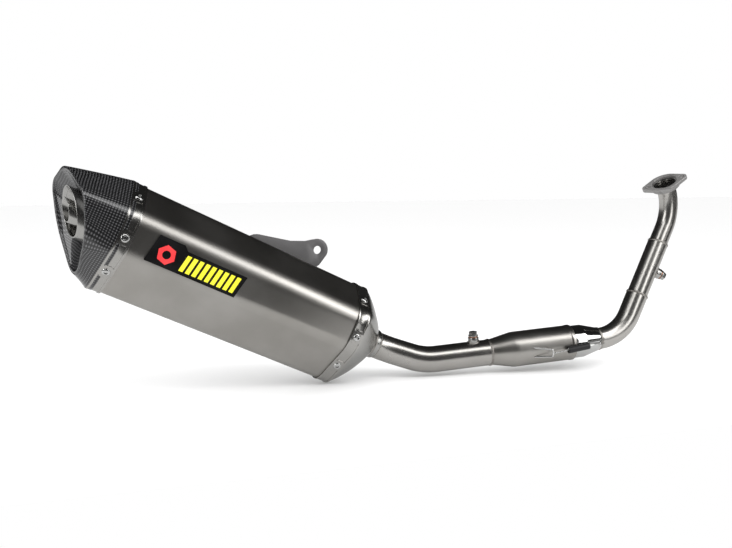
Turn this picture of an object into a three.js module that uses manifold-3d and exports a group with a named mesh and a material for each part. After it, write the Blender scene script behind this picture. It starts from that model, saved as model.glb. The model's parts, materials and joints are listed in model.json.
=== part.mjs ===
// Full racing exhaust system for a single-cylinder scooter, in millimetres.
// +X points to the front of the vehicle, +Y to its left and +Z up. The origin is the centre
// of the exhaust port's face, where the header meets the cylinder head. The pipe drops from
// the port, runs back under the engine through a sprung slip joint, and ends in a six-sided
// muffler with a slanted outlet cap.

import * as THREE from 'three';
import { mergeVertices } from 'three/addons/utils/BufferGeometryUtils.js';
import Module from 'manifold-3d';

const wasm = await Module();
wasm.setup();

// ---------------------------------------------------------------------------------------
// Driving dimensions
// ---------------------------------------------------------------------------------------

const GAP = 0.35;                     // clearance left between pieces that touch

// Where the pipe runs. Each bend is the corner of two straight runs and a radius.
const PORT_AXIS = new THREE.Vector3(-0.482, -0.189, 0.855).normalize();
const FLANGE_LINE = new THREE.Vector3(0.785, -0.527, 0.326);
const HEADER_TOP_BEND = { corner: new THREE.Vector3(22, 8.6, -39), radius: 58 };
const HEADER_LOW_BEND = { corner: new THREE.Vector3(-74, -13.6, -219.5), radius: 60 };
const LINK_BEND = { corner: new THREE.Vector3(-367, 13.4, -241), radius: 85 };
const MUFFLER_ORIGIN = new THREE.Vector3(-493.5, 18.3, -195.3);
const MUFFLER_PITCH = THREE.MathUtils.degToRad(25.7);
const MUFFLER_TOE_OUT = THREE.MathUtils.degToRad(7.8);

// Header tubes, each a little wider than the one before it.
const WALL = 1.5;
const UPPER_OD = 26;
const MID_OD = 28.5;
const LOWER_OD = 30.5;
const UPPER_WELD_AT = 57;             // along the straight run below the top bend
const LOWER_WELD_AT = 140;
const BEAD_WIDTH = 2.6;

// Port collar and its loose two-bolt flange.
const FLANGE_THICK = 5;
const FLANGE_BOLT_SPACING = 48;
const FLANGE_BOLT_HOLE = 8.4;
const FLANGE_BORE = 35;
const FLANGE_EAR_RADIUS = 7.6;
const FLANGE_WAIST_RADIUS = 23;
const SEAT_THICK = 4;
const SEAT_BORE = 27.4;
const LIP_OD = 30.4;

// Slip joint, measured from the lower header corner along the slip axis.
const CONE_START = 36;
const CAN_START = 62;
const CAN_OD = 46;
const CAN_END = 122;
const SLEEVE_START = 79;
const SLEEVE_OD = 49;
const SLEEVE_ID = 46.7;
const SLEEVE_TAPER_START = 165;
const SLEEVE_END = 199;
const LINK_OD = 36;
const SPRING_FRONT = new THREE.Vector3(30, 0, 51);
const SPRING_REAR = new THREE.Vector3(31, -5, 117);
const SPRING_COIL_OD = 6.8;
const SPRING_COVER_OD = 9.2;
const SPRING_WIRE = 1.8;
const HOOK_WIRE = 3.2;

// Lambda-sensor bosses.
const BOSS_OD = 15;
const BOSS_BORE = 9.4;
const HEADER_BOSS_AT = 98;            // along the straight run below the top bend
const HEADER_BOSS_DIRECTION = new THREE.Vector3(0.85, -0.2, -0.43).normalize();
const LINK_BOSS_AT = 222;             // along the slip axis

// Muffler body: z runs from the inlet band's rear edge to the outlet.
const BODY_LENGTH = 315;
const HALF_WIDTH = 51.7;
const SECTION = [                     // corners of the rounded hexagon: x, y, fillet radius
  [0, 75.5, 21],
  [HALF_WIDTH, 35, 26],
  [0.97 * HALF_WIDTH, -10.5, 26],
  [0, -76, 21],
  [-0.97 * HALF_WIDTH, -10.5, 26],
  [-HALF_WIDTH, 35, 26],
];
const FILLET_STEPS = 3;
const EDGE_STEPS = 2;
const BAND_WIDTH = 17;
const BAND_THICK = 1.5;
const SKIN = 1.2;
const INLET_NECK = new THREE.Vector3(3, 7, -57);
const NECK_BEND_BEFORE = 23;          // from the link pipe's last corner to the neck
const NECK_OD = 40;
const CORE_OD = 52;
const RIVET_HEAD = 10;
const RIVET_STEM = 4.8;

// Slanted outlet cap: the rim's plane leans back towards the bottom and the near side.
const RIM_SECTION = [                 // the same six corners at the rim, much rounder
  [0, 59, 34],
  [46, 33, 18],
  [41, -10, 60],
  [0, -68, 20],
  [-41, -10, 60],
  [-46, 33, 18],
];
const RIM_PLANE = { y: 3.3, z: 363, slopeUp: 0.52, slopeNear: -0.293 };
const FACE_DEPTH = 15;
const FACE_BORE_CLEARANCE = 1.5;
const OUTLET_CENTRE_Y = 9;
const OUTLET_OD = 53;
const OUTLET_ID = 50;
const MOUTH_PLANE = { y: OUTLET_CENTRE_Y, z: 365, slopeUp: 0.54, slopeNear: -0.19 };
const DAMPER_OD = 48.8;
const DAMPER_CORE_OD = 26;
const DAMPER_CORE_PROUD = 5;          // how far the damper's small tube stands out of the mouth

// ---------------------------------------------------------------------------------------
// Materials
// ---------------------------------------------------------------------------------------

const finish = (color, roughness, metalness) => () =>
  new THREE.MeshStandardMaterial({ color, roughness, metalness });
const titanium = finish(0x8d8b88, 0.42, 1);
const polishedSteel = finish(0xd9d9d6, 0.12, 1);
const satinSteel = finish(0xa9a8a5, 0.35, 1);
const darkSteel = finish(0x45454a, 0.45, 1);
const weldMetal = finish(0x8a8378, 0.5, 1);
const copper = finish(0xb87452, 0.35, 1);
const carbon = finish(0x18181a, 0.2, 0.1);
const silicone = finish(0x121213, 0.6, 0);
const glassWool = finish(0xd8d2b8, 0.95, 0);
const badgeBlack = finish(0x101011, 0.35, 0.1);

// ---------------------------------------------------------------------------------------
// Helpers
// ---------------------------------------------------------------------------------------

const up = new THREE.Vector3(0, 0, 1);

// A group whose z axis is along the given direction and whose y axis leans to the hint.
function orientedGroup(origin, zAxis, yHint = up) {
  const z = zAxis.clone().normalize();
  const x = new THREE.Vector3().crossVectors(yHint, z).normalize();
  const y = new THREE.Vector3().crossVectors(z, x);
  const group = new THREE.Group();
  group.position.copy(origin);
  group.quaternion.setFromRotationMatrix(new THREE.Matrix4().makeBasis(x, y, z));
  group.updateMatrix();
  return group;
}

function addMesh(parent, name, geometry, material) {
  const mesh = new THREE.Mesh(geometry, material());
  mesh.name = name;
  parent.add(mesh);
  return mesh;
}

// A centreline of straight runs joined by true arcs, addressed by distance along it.
class BentPath {
  constructor(start, bends, end) {
    this.pieces = [];
    this.length = 0;
    let from = start;
    bends.forEach((bend, i) => {
      const next = i + 1 < bends.length ? bends[i + 1].corner : end;
      const a = bend.corner.clone().sub(from).normalize();
      const b = next.clone().sub(bend.corner).normalize();
      const angle = a.angleTo(b);
      const cut = bend.radius * Math.tan(angle / 2);
      const arcStart = bend.corner.clone().addScaledVector(a, -cut);
      const side = b.clone().addScaledVector(a, -a.dot(b)).normalize();
      this.addLine(from, arcStart);
      this.addArc(arcStart, a, side, bend.radius, angle);
      from = bend.corner.clone().addScaledVector(b, cut);
    });
    this.addLine(from, end);
  }
  addLine(from, to) {
    const length = from.distanceTo(to);
    this.pieces.push({ from: this.length, length, at: (d) => from.clone().lerp(to, d / length) });
    this.length += length;
  }
  addArc(start, along, side, radius, angle) {
    const at = (d) => start.clone()
      .addScaledVector(along, radius * Math.sin(d / radius))
      .addScaledVector(side, radius * (1 - Math.cos(d / radius)));
    this.pieces.push({ from: this.length, length: radius * angle, at });
    this.length += radius * angle;
  }
  at(distance) {
    const d = THREE.MathUtils.clamp(distance, 0, this.length);
    const piece = this.pieces.findLast((p) => d >= p.from);
    return piece.at(d - piece.from);
  }
}

// The stretch of a bent path between two distances, as a curve to extrude along.
class Stretch extends THREE.Curve {
  constructor(path, from, to) {
    super();
    Object.assign(this, { path, from, to });
  }
  getPoint(t, target = new THREE.Vector3()) {
    return target.copy(this.path.at(this.from + (this.to - this.from) * t));
  }
  getPointAt(t, target) {
    return this.getPoint(t, target);
  }
}

// A round tube, or a solid rod when the bore is 0, along a stretch of a bent path.
function tube(path, from, to, od, bore, stepLength = 12, sides = 16) {
  const shape = new THREE.Shape().absarc(0, 0, od / 2, 0, 2 * Math.PI);
  if (bore > 0) shape.holes.push(new THREE.Path().absarc(0, 0, bore / 2, 0, 2 * Math.PI));
  const steps = Math.max(1, Math.ceil((to - from) / stepLength));
  return new THREE.ExtrudeGeometry(shape, {
    steps, curveSegments: sides / 2, extrudePath: new Stretch(path, from, to),
  });
}

// A turned ring: profile points [radius, z] go once around its section.
function turned(profile, sides = 20) {
  const closed = [...profile, profile[0]];
  const geometry = new THREE.LatheGeometry(
    closed.map(([r, z]) => new THREE.Vector2(r, z)), sides);
  return geometry.rotateX(Math.PI / 2);
}

// A turned solid whose profile starts and ends on the axis.
function turnedSolid(profile, sides = 10) {
  const geometry = new THREE.LatheGeometry(
    profile.map(([r, z]) => new THREE.Vector2(r, z)), sides);
  return geometry.rotateX(Math.PI / 2);
}

function flatPlate(shape, from, to, curveSegments = 6) {
  const options = { depth: to - from, bevelEnabled: false, curveSegments };
  return new THREE.ExtrudeGeometry(shape, options).translate(0, 0, from);
}

// A closed shell through rings of equal point counts, joined from the last to the first.
function shell(rings) {
  const n = rings[0].length;
  const position = rings.flat().flatMap((p) => [p.x, p.y, p.z]);
  const index = [];
  rings.forEach((_, i) => {
    const a = i * n;
    const b = ((i + 1) % rings.length) * n;
    for (let j = 0; j < n; j += 1) {
      const k = (j + 1) % n;
      index.push(a + j, a + k, b + k, a + j, b + k, b + j);
    }
  });
  const geometry = new THREE.BufferGeometry();
  geometry.setAttribute('position', new THREE.Float32BufferAttribute(position, 3));
  geometry.setIndex(index);
  return geometry;
}

// Booleans.
function solid(geometry) {
  const plain = geometry.clone();
  plain.deleteAttribute('normal');
  plain.deleteAttribute('uv');
  const merged = mergeVertices(plain, 1e-3);
  return new wasm.Manifold(new wasm.Mesh({
    numProp: 3,
    vertProperties: Float32Array.from(merged.attributes.position.array),
    triVerts: Uint32Array.from(merged.index.array),
  }));
}

function fromSolid(manifold) {
  const mesh = manifold.getMesh();
  const geometry = new THREE.BufferGeometry();
  geometry.setAttribute('position', new THREE.BufferAttribute(mesh.vertProperties, 3));
  geometry.setIndex(new THREE.BufferAttribute(mesh.triVerts, 1));
  return geometry;
}

function cut(geometry, ...tools) {
  return fromSolid(tools.reduce((body, tool) => body.subtract(solid(tool)), solid(geometry)));
}

function join(...geometries) {
  return fromSolid(geometries.slice(1).reduce((body, g) => body.add(solid(g)), solid(geometries[0])));
}

// ---------------------------------------------------------------------------------------
// Frames
// ---------------------------------------------------------------------------------------

const root = new THREE.Group();

const mufflerAxis = new THREE.Vector3(
  -Math.cos(MUFFLER_PITCH) * Math.cos(MUFFLER_TOE_OUT),
  -Math.cos(MUFFLER_PITCH) * Math.sin(MUFFLER_TOE_OUT),
  Math.sin(MUFFLER_PITCH));
const muffler = orientedGroup(MUFFLER_ORIGIN, mufflerAxis);
const slipAxis = LINK_BEND.corner.clone().sub(HEADER_LOW_BEND.corner).normalize();
const slip = orientedGroup(HEADER_LOW_BEND.corner, slipAxis);
const portSide = new THREE.Vector3().crossVectors(PORT_AXIS, FLANGE_LINE).normalize();
const port = orientedGroup(new THREE.Vector3(), PORT_AXIS, portSide);
root.add(port, slip, muffler);

const inMuffler = (x, y, z) => new THREE.Vector3(x, y, z).applyMatrix4(muffler.matrix);
const alongSlip = (d) => HEADER_LOW_BEND.corner.clone().addScaledVector(slipAxis, d);

// ---------------------------------------------------------------------------------------
// Port collar and flange
// ---------------------------------------------------------------------------------------

const SEAT_TOP = -FLANGE_THICK + 0.2;
const LIP_BOTTOM = SEAT_TOP + GAP;

function flangeOutline() {
  const halfSpan = FLANGE_BOLT_SPACING / 2;
  const ear = FLANGE_EAR_RADIUS;
  const waist = FLANGE_WAIST_RADIUS;
  const shape = new THREE.Shape();
  const lean = Math.acos((waist - ear) / halfSpan);
  shape.absarc(halfSpan, 0, ear, -lean, lean);
  shape.absarc(0, 0, waist, lean, Math.PI - lean);
  shape.absarc(-halfSpan, 0, ear, Math.PI - lean, Math.PI + lean);
  shape.absarc(0, 0, waist, Math.PI + lean, 2 * Math.PI - lean);
  return shape;
}

function kidneySlot(angle, inner, outer, spread) {
  const slot = new THREE.Path();
  slot.absarc(0, 0, outer, angle - spread, angle + spread);
  slot.absarc(0, 0, inner, angle + spread, angle - spread, true);
  return slot;
}

function buildFlange() {
  const plate = flangeOutline();
  for (const side of [-1, 1]) {
    plate.holes.push(new THREE.Path()
      .absarc(side * FLANGE_BOLT_SPACING / 2, 0, FLANGE_BOLT_HOLE / 2, 0, 2 * Math.PI));
  }
  plate.holes.push(new THREE.Path().absarc(0, 0, FLANGE_BORE / 2, 0, 2 * Math.PI));
  const seat = new THREE.Shape().absarc(0, 0, FLANGE_BORE / 2 + 2.5, 0, 2 * Math.PI);
  seat.holes.push(new THREE.Path().absarc(0, 0, SEAT_BORE / 2, 0, 2 * Math.PI));
  for (let i = 0; i < 4; i += 1) {
    seat.holes.push(kidneySlot(Math.PI * (0.25 + i / 2), LIP_OD / 2 + 0.4, FLANGE_BORE / 2 - 0.3, 0.36));
  }
  return join(
    flatPlate(plate, -FLANGE_THICK, 0, 5),
    flatPlate(seat, -FLANGE_THICK - SEAT_THICK, SEAT_TOP, 6));
}

addMesh(port, 'header_flange', buildFlange(), darkSteel);
addMesh(port, 'header_collar', turned([
  [UPPER_OD / 2 - WALL, LIP_BOTTOM], [LIP_OD / 2, LIP_BOTTOM],
  [LIP_OD / 2, LIP_BOTTOM + 2.2], [UPPER_OD / 2 - WALL, LIP_BOTTOM + 2.2],
]), satinSteel);

// ---------------------------------------------------------------------------------------
// Header
// ---------------------------------------------------------------------------------------

const headerPath = new BentPath(
  PORT_AXIS.clone().multiplyScalar(LIP_BOTTOM - GAP),
  [HEADER_TOP_BEND, HEADER_LOW_BEND],
  alongSlip(CONE_START));
const topRun = HEADER_LOW_BEND.corner.clone().sub(HEADER_TOP_BEND.corner);
const topRunDirection = topRun.clone().normalize();
const onTopRun = (d) => HEADER_TOP_BEND.corner.clone().addScaledVector(topRunDirection, d);
const topTurn = topRunDirection.angleTo(PORT_AXIS.clone().negate());
const topRunStart = headerPath.pieces[2].from
  - HEADER_TOP_BEND.radius * Math.tan(topTurn / 2);
const upperWeld = topRunStart + UPPER_WELD_AT;
const lowerWeld = topRunStart + LOWER_WELD_AT;
const halfBead = BEAD_WIDTH / 2 + GAP;

addMesh(root, 'header_upper_tube',
  tube(headerPath, 0, upperWeld - halfBead, UPPER_OD, UPPER_OD - 2 * WALL), titanium);
addMesh(root, 'header_mid_tube',
  tube(headerPath, upperWeld + halfBead, lowerWeld - halfBead, MID_OD, MID_OD - 2 * WALL, 90),
  titanium);
addMesh(root, 'header_lower_tube',
  tube(headerPath, lowerWeld + halfBead, headerPath.length - GAP, LOWER_OD, LOWER_OD - 2 * WALL),
  titanium);

// A weld bead: a barrel-shaped ring in the gap between two tube ends.
function weldBead(innerRadius, outerRadius) {
  const h = BEAD_WIDTH / 2;
  return turned([
    [innerRadius, -h], [outerRadius, -h], [outerRadius + 0.7, 0], [outerRadius, h],
    [innerRadius, h],
  ]);
}

const upperWeldGroup = orientedGroup(headerPath.at(upperWeld), topRunDirection);
const lowerWeldGroup = orientedGroup(headerPath.at(lowerWeld), topRunDirection);
root.add(upperWeldGroup, lowerWeldGroup);
addMesh(upperWeldGroup, 'header_upper_weld', weldBead(UPPER_OD / 2 - WALL, MID_OD / 2), weldMetal);
addMesh(lowerWeldGroup, 'header_lower_weld', weldBead(MID_OD / 2 - WALL, LOWER_OD / 2), weldMetal);

// A threaded boss saddled on a tube, with its sealing washer and hexagon-head plug.
function sensorPort(prefix, centre, tubeAxis, lean, tubeOd) {
  const direction = lean.clone().addScaledVector(tubeAxis, -lean.dot(tubeAxis));
  const group = orientedGroup(centre, direction, tubeAxis);
  root.add(group);
  const base = tubeOd / 2;
  const seat = base + 6;
  const saddle = new THREE.CylinderGeometry(base + GAP, base + GAP, 4 * BOSS_OD, 24);
  const blank = turned([
    [BOSS_BORE / 2, base - 4], [BOSS_OD / 2, base - 4], [BOSS_OD / 2, seat - 1],
    [BOSS_OD / 2 - 1, seat], [BOSS_BORE / 2, seat],
  ], 16);
  addMesh(group, `${prefix}_sensor_boss`, cut(blank, saddle), satinSteel);
  const washer = [
    [BOSS_BORE / 2, seat + GAP], [BOSS_OD / 2 - 1.4, seat + GAP],
    [BOSS_OD / 2 - 1.4, seat + GAP + 1], [BOSS_BORE / 2, seat + GAP + 1],
  ];
  addMesh(group, `${prefix}_sensor_washer`, turned(washer, 16), copper);
  const headBase = seat + 2 * GAP + 1;
  const shankRadius = BOSS_BORE / 2 - GAP;
  const collarRadius = BOSS_OD / 2 - 0.6;
  const plug = join(
    turnedSolid([[0, base + 1.5], [shankRadius, base + 1.5], [shankRadius, headBase + 0.2],
      [0, headBase + 0.2]], 12),
    turnedSolid([[0, headBase], [collarRadius, headBase], [collarRadius, headBase + 1.2],
      [0, headBase + 1.2]], 16),
    turnedSolid([[0, headBase + 1], [6, headBase + 1], [6, headBase + 5.6], [5, headBase + 6.4],
      [0, headBase + 6.4]], 6));
  addMesh(group, `${prefix}_sensor_plug`, plug, satinSteel);
}

sensorPort('header', onTopRun(HEADER_BOSS_AT), topRunDirection, HEADER_BOSS_DIRECTION, MID_OD);
sensorPort('link', alongSlip(LINK_BOSS_AT), slipAxis, up, LINK_OD);

// ---------------------------------------------------------------------------------------
// Slip joint: cone and can on the header, sleeve on the link pipe, two springs
// ---------------------------------------------------------------------------------------

addMesh(slip, 'collector_cone', turned([
  [LOWER_OD / 2 - WALL, CONE_START], [LOWER_OD / 2 + 0.6, CONE_START],
  [LOWER_OD / 2 + 0.6, CONE_START + 2], [CAN_OD / 2, CAN_START - GAP],
  [CAN_OD / 2 - WALL, CAN_START - GAP], [LOWER_OD / 2 - WALL, CONE_START + 2],
], 24), polishedSteel);
addMesh(slip, 'collector_can', turned([
  [CAN_OD / 2 - WALL, CAN_START], [CAN_OD / 2, CAN_START],
  [CAN_OD / 2, CAN_END], [CAN_OD / 2 - WALL, CAN_END],
], 24), polishedSteel);
addMesh(slip, 'slip_sleeve', turned([
  [SLEEVE_ID / 2, SLEEVE_START], [SLEEVE_OD / 2 + 0.6, SLEEVE_START],
  [SLEEVE_OD / 2 + 0.6, SLEEVE_START + 5], [SLEEVE_OD / 2, SLEEVE_START + 6.5],
  [SLEEVE_OD / 2, SLEEVE_TAPER_START], [LINK_OD / 2, SLEEVE_END],
  [LINK_OD / 2 - WALL, SLEEVE_END], [SLEEVE_ID / 2, SLEEVE_TAPER_START],
  [SLEEVE_ID / 2, CAN_END + 3],
], 24), satinSteel);

const sleeveWeldGroup = orientedGroup(alongSlip(SLEEVE_END + halfBead), slipAxis);
root.add(sleeveWeldGroup);
addMesh(sleeveWeldGroup, 'sleeve_weld', weldBead(LINK_OD / 2 - WALL, LINK_OD / 2), weldMetal);

// Everything sprung comes in a near and a far copy, mirrored across the slip plane.
function mirrored(vector, side) {
  return new THREE.Vector3(vector.x * side, vector.y, vector.z);
}

function rod(points, radius, wire) {
  const bends = points.slice(1, -1).map((corner) => ({ corner, radius }));
  const path = new BentPath(points[0], bends, points.at(-1));
  return tube(path, 0, path.length, wire, 0, 4, 6);
}

function springSet(name, side) {
  const front = mirrored(SPRING_FRONT, side);
  const rear = mirrored(SPRING_REAR, side);
  const reach = (x, y, z) => new THREE.Vector3(x * side, y, z);
  addMesh(slip, `header_spring_hook_${name}`, rod([
    reach(17.4, 3, 30), reach(33, 1.5, 47.5), reach(33, -2.5, 47.5), reach(17.1, -4, 30),
  ], 1.8, HOOK_WIRE), satinSteel);
  addMesh(slip, `sleeve_spring_hook_${name}`, rod([
    reach(27, 4.5, 143), reach(31.5, -1, 121), reach(30.5, -8, 121), reach(25.9, -8.5, 143),
  ], 2.4, HOOK_WIRE), satinSteel);
  const axis = rear.clone().sub(front);
  const length = axis.length();
  const group = orientedGroup(front, axis, new THREE.Vector3(0, 1, 0));
  slip.add(group);
  const coilStart = 0.22 * length;
  const coilEnd = 0.66 * length;
  const wire = SPRING_WIRE / 2;
  const coil = SPRING_COIL_OD / 2;
  addMesh(group, `spring_${name}`, turnedSolid([
    [0, 0], [wire, 0], [wire, coilStart], [coil, coilStart + 2], [coil, coilEnd - 2],
    [wire, coilEnd], [wire, length], [0, length],
  ]), polishedSteel);
  const cover = SPRING_COVER_OD / 2;
  addMesh(group, `spring_cover_${name}`, turned([
    [coil + GAP, coilStart], [cover, coilStart], [cover, coilEnd], [coil + GAP, coilEnd],
  ], 12), silicone);
}

springSet('near', 1);
springSet('far', -1);

// ---------------------------------------------------------------------------------------
// Link pipe
// ---------------------------------------------------------------------------------------

const neckStart = inMuffler(INLET_NECK.x, INLET_NECK.y, INLET_NECK.z - NECK_BEND_BEFORE);
const linkPath = new BentPath(
  alongSlip(SLEEVE_END + BEAD_WIDTH + 2 * GAP),
  [LINK_BEND, { corner: neckStart, radius: 85 }],
  inMuffler(INLET_NECK.x, INLET_NECK.y, INLET_NECK.z + 12));
addMesh(root, 'link_pipe', tube(linkPath, 0, linkPath.length, LINK_OD, LINK_OD - 2 * WALL), titanium);

// ---------------------------------------------------------------------------------------
// Muffler sections
// ---------------------------------------------------------------------------------------

// A rounded hexagon as a ring of points, pushed outwards by an offset.
function sectionPoints(offset = 0, section = SECTION) {
  const corners = section.map(([x, y]) => new THREE.Vector2(x, y));
  const points = [];
  corners.forEach((corner, i) => {
    const before = corners.at(i - 1).clone().sub(corner).normalize();
    const after = corners[(i + 1) % corners.length].clone().sub(corner).normalize();
    const half = Math.acos(before.dot(after)) / 2;
    const radius = section[i][2];
    const inward = before.clone().add(after).normalize();
    const centre = corner.clone().addScaledVector(inward, radius / Math.sin(half));
    const sweep = Math.PI - 2 * half;
    const first = Math.atan2(-inward.y, -inward.x) + sweep / 2;
    for (let k = 0; k <= FILLET_STEPS; k += 1) {
      const angle = first - sweep * k / FILLET_STEPS;
      const reach = radius + offset;
      points.push(new THREE.Vector2(
        centre.x + reach * Math.cos(angle), centre.y + reach * Math.sin(angle)));
    }
  });
  return points.flatMap((point, i) => {
    const next = points[(i + 1) % points.length];
    const isEdge = (i + 1) % (FILLET_STEPS + 1) === 0;
    const cuts = isEdge ? EDGE_STEPS : 1;
    return Array.from({ length: cuts }, (_, k) => point.clone().lerp(next, k / cuts));
  }).reverse();
}

const sectionRing = (z, offset) => sectionPoints(offset).map((p) => new THREE.Vector3(p.x, p.y, z));

// A hollow prism of the muffler's section.
function sectionTube(from, to, innerOffset, outerOffset) {
  return shell([
    sectionRing(from, innerOffset), sectionRing(to, innerOffset),
    sectionRing(to, outerOffset), sectionRing(from, outerOffset),
  ].reverse());
}

// Section ring blended towards a circle: mix 0 is the hexagon and 1 is the circle.
function blendedRing(z, offset, mix, circleRadius, centre) {
  return sectionPoints(offset).map((p) => {
    const angle = Math.atan2(p.y, p.x);
    const x = THREE.MathUtils.lerp(p.x, centre.x + circleRadius * Math.cos(angle), mix);
    const y = THREE.MathUtils.lerp(p.y, centre.y + circleRadius * Math.sin(angle), mix);
    return new THREE.Vector3(x, y, z);
  });
}

// Where the six rivets of a band sit: one near the middle of each face.
const RIVET_ANGLES = [61, 6, -50, -130, 174, 119];

function onSection(angleDegrees, offset) {
  const angle = THREE.MathUtils.degToRad(angleDegrees);
  const direction = new THREE.Vector2(Math.cos(angle), Math.sin(angle));
  const points = sectionPoints(offset);
  for (let i = 0; i < points.length; i += 1) {
    const a = points[i];
    const b = points[(i + 1) % points.length];
    const edge = b.clone().sub(a);
    const across = direction.cross(edge);
    const t = a.cross(edge) / across;
    const s = a.cross(direction) / across;
    if (t > 0 && s >= 0 && s < 1) {
      return {
        point: direction.clone().multiplyScalar(t),
        normal: new THREE.Vector2(edge.y, -edge.x).normalize(),
      };
    }
  }
  throw new Error(`no section point at ${angleDegrees} degrees`);
}

function rivetGroup(angle, z) {
  const { point, normal } = onSection(angle, GAP + BAND_THICK);
  const group = orientedGroup(
    new THREE.Vector3(point.x, point.y, z), new THREE.Vector3(normal.x, normal.y, 0));
  return group;
}

function rivetGeometry() {
  const head = RIVET_HEAD / 2;
  const stem = RIVET_STEM / 2;
  return turnedSolid([
    [0, -BAND_THICK], [stem, -BAND_THICK], [stem, GAP], [head, GAP], [head, GAP + 0.7],
    [head * 0.66, GAP + 2], [head * 0.34, GAP + 2.2], [0, GAP + 1.4],
  ]);
}

function buildBand(name, from, to) {
  const middle = (from + to) / 2;
  const holes = [];
  RIVET_ANGLES.forEach((angle, i) => {
    const group = rivetGroup(angle, middle);
    muffler.add(group);
    addMesh(group, `${name}_rivet_${i + 1}`, rivetGeometry(), polishedSteel);
    const radius = RIVET_STEM / 2 + GAP;
    const drill = new THREE.CylinderGeometry(radius, radius, 8, 8).rotateX(Math.PI / 2);
    holes.push(drill.applyMatrix4(group.matrix));
  });
  const blank = sectionTube(from, to, GAP, GAP + BAND_THICK);
  addMesh(muffler, `${name}_band`, cut(blank, ...holes), polishedSteel);
}

// ---------------------------------------------------------------------------------------
// Muffler
// ---------------------------------------------------------------------------------------

const SLEEVE_FRONT = -10;
const SLEEVE_REAR = BODY_LENGTH - 7;

addMesh(muffler, 'outer_sleeve', sectionTube(SLEEVE_FRONT, SLEEVE_REAR, -SKIN, 0), titanium);
buildBand('inlet', -BAND_WIDTH, 0);
buildBand('outlet', BODY_LENGTH - BAND_WIDTH, BODY_LENGTH);

// Inlet cap: a domed cone from the six-sided section to the round neck.
function buildInletCap() {
  const neckRadius = NECK_OD / 2 + 2 * GAP;
  const steps = [[0, 0], [0.13, 0.18], [0.4, 0.47], [0.72, 0.78], [1, 1]];
  const domeFront = -BAND_WIDTH - 1;
  const domeDepth = INLET_NECK.z + 5 - domeFront;
  const skin = (offset, radius) => [
    blendedRing(SLEEVE_FRONT - GAP, offset, 0, radius, INLET_NECK),
    ...steps.map(([mix, depth]) =>
      blendedRing(domeFront + domeDepth * depth, offset, mix, radius, INLET_NECK)),
  ];
  const outer = skin(0, neckRadius + WALL);
  const inner = skin(-WALL, neckRadius).reverse();
  return shell([...outer, ...inner].reverse());
}

addMesh(muffler, 'inlet_cap', buildInletCap(), satinSteel);
const neck = new THREE.Group();
neck.position.set(INLET_NECK.x, INLET_NECK.y, INLET_NECK.z);
muffler.add(neck);
addMesh(neck, 'neck_ring', turned([
  [LINK_OD / 2 + GAP, -6], [NECK_OD / 2 + 0.8, -6], [NECK_OD / 2 + 0.8, 2], [NECK_OD / 2, 3],
  [NECK_OD / 2, 14], [LINK_OD / 2 + GAP, 14],
], 24), weldMetal);

// Outlet cap: carbon-fibre shell from the band to the slanted rim, with a dished face that
// runs in to the outlet tube.
const heightOn = (plane, x, y) => plane.z + plane.slopeUp * (y - plane.y) + plane.slopeNear * x;

function slantedRing(mix, offset, sink = 0) {
  const start = BODY_LENGTH + GAP;
  const rim = sectionPoints(offset, RIM_SECTION);
  return sectionPoints(offset).map((p, i) => {
    const x = THREE.MathUtils.lerp(p.x, rim[i].x, mix);
    const y = THREE.MathUtils.lerp(p.y, rim[i].y, mix);
    const z = THREE.MathUtils.lerp(start, heightOn(RIM_PLANE, x, y), mix) - sink;
    return new THREE.Vector3(x, y, z);
  });
}

function faceRing(radius, sink) {
  return sectionPoints(0, RIM_SECTION).map((p) => {
    const angle = Math.atan2(p.y - OUTLET_CENTRE_Y, p.x);
    const x = radius * Math.cos(angle);
    const y = radius * Math.sin(angle) + OUTLET_CENTRE_Y;
    return new THREE.Vector3(x, y, heightOn(RIM_PLANE, x, y) - sink);
  });
}

function buildOutletCap() {
  const wall = 2.4;
  const bore = OUTLET_OD / 2 + FACE_BORE_CLEARANCE;
  const proud = GAP + BAND_THICK;
  return shell([
    sectionRing(SLEEVE_REAR + GAP, 0), sectionRing(BODY_LENGTH + GAP, 0),
    slantedRing(0.02, proud), slantedRing(0.4, proud), slantedRing(0.8, proud),
    slantedRing(1, 0.6), slantedRing(1, -1.6),
    faceRing(bore, FACE_DEPTH), faceRing(bore, FACE_DEPTH + wall),
    slantedRing(0.82, -wall, wall), slantedRing(0.4, -wall),
    sectionRing(BODY_LENGTH + GAP, -wall), sectionRing(SLEEVE_REAR + GAP, -wall),
  ]);
}

addMesh(muffler, 'outlet_cap', buildOutletCap(), carbon);

const outlet = new THREE.Group();
outlet.position.set(0, OUTLET_CENTRE_Y, 0);
muffler.add(outlet);

// A tube whose mouth is cut at a slant, close to the slant of the cap's face.
function slantedTube(from, outerRadius, innerRadius, sink, sides = 24) {
  const ring = (radius, z) => Array.from({ length: sides }, (_, i) => {
    const angle = 2 * Math.PI * i / sides;
    const x = radius * Math.cos(angle);
    const y = radius * Math.sin(angle);
    return new THREE.Vector3(x, y, z ?? heightOn(MOUTH_PLANE, x, y + OUTLET_CENTRE_Y) - sink);
  });
  return shell([
    ring(outerRadius, from), ring(outerRadius), ring(innerRadius), ring(innerRadius, from),
  ]);
}

const OUTLET_FROM = 262;
addMesh(outlet, 'outlet_tube',
  slantedTube(OUTLET_FROM, OUTLET_OD / 2, OUTLET_ID / 2, 0), polishedSteel);

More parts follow.
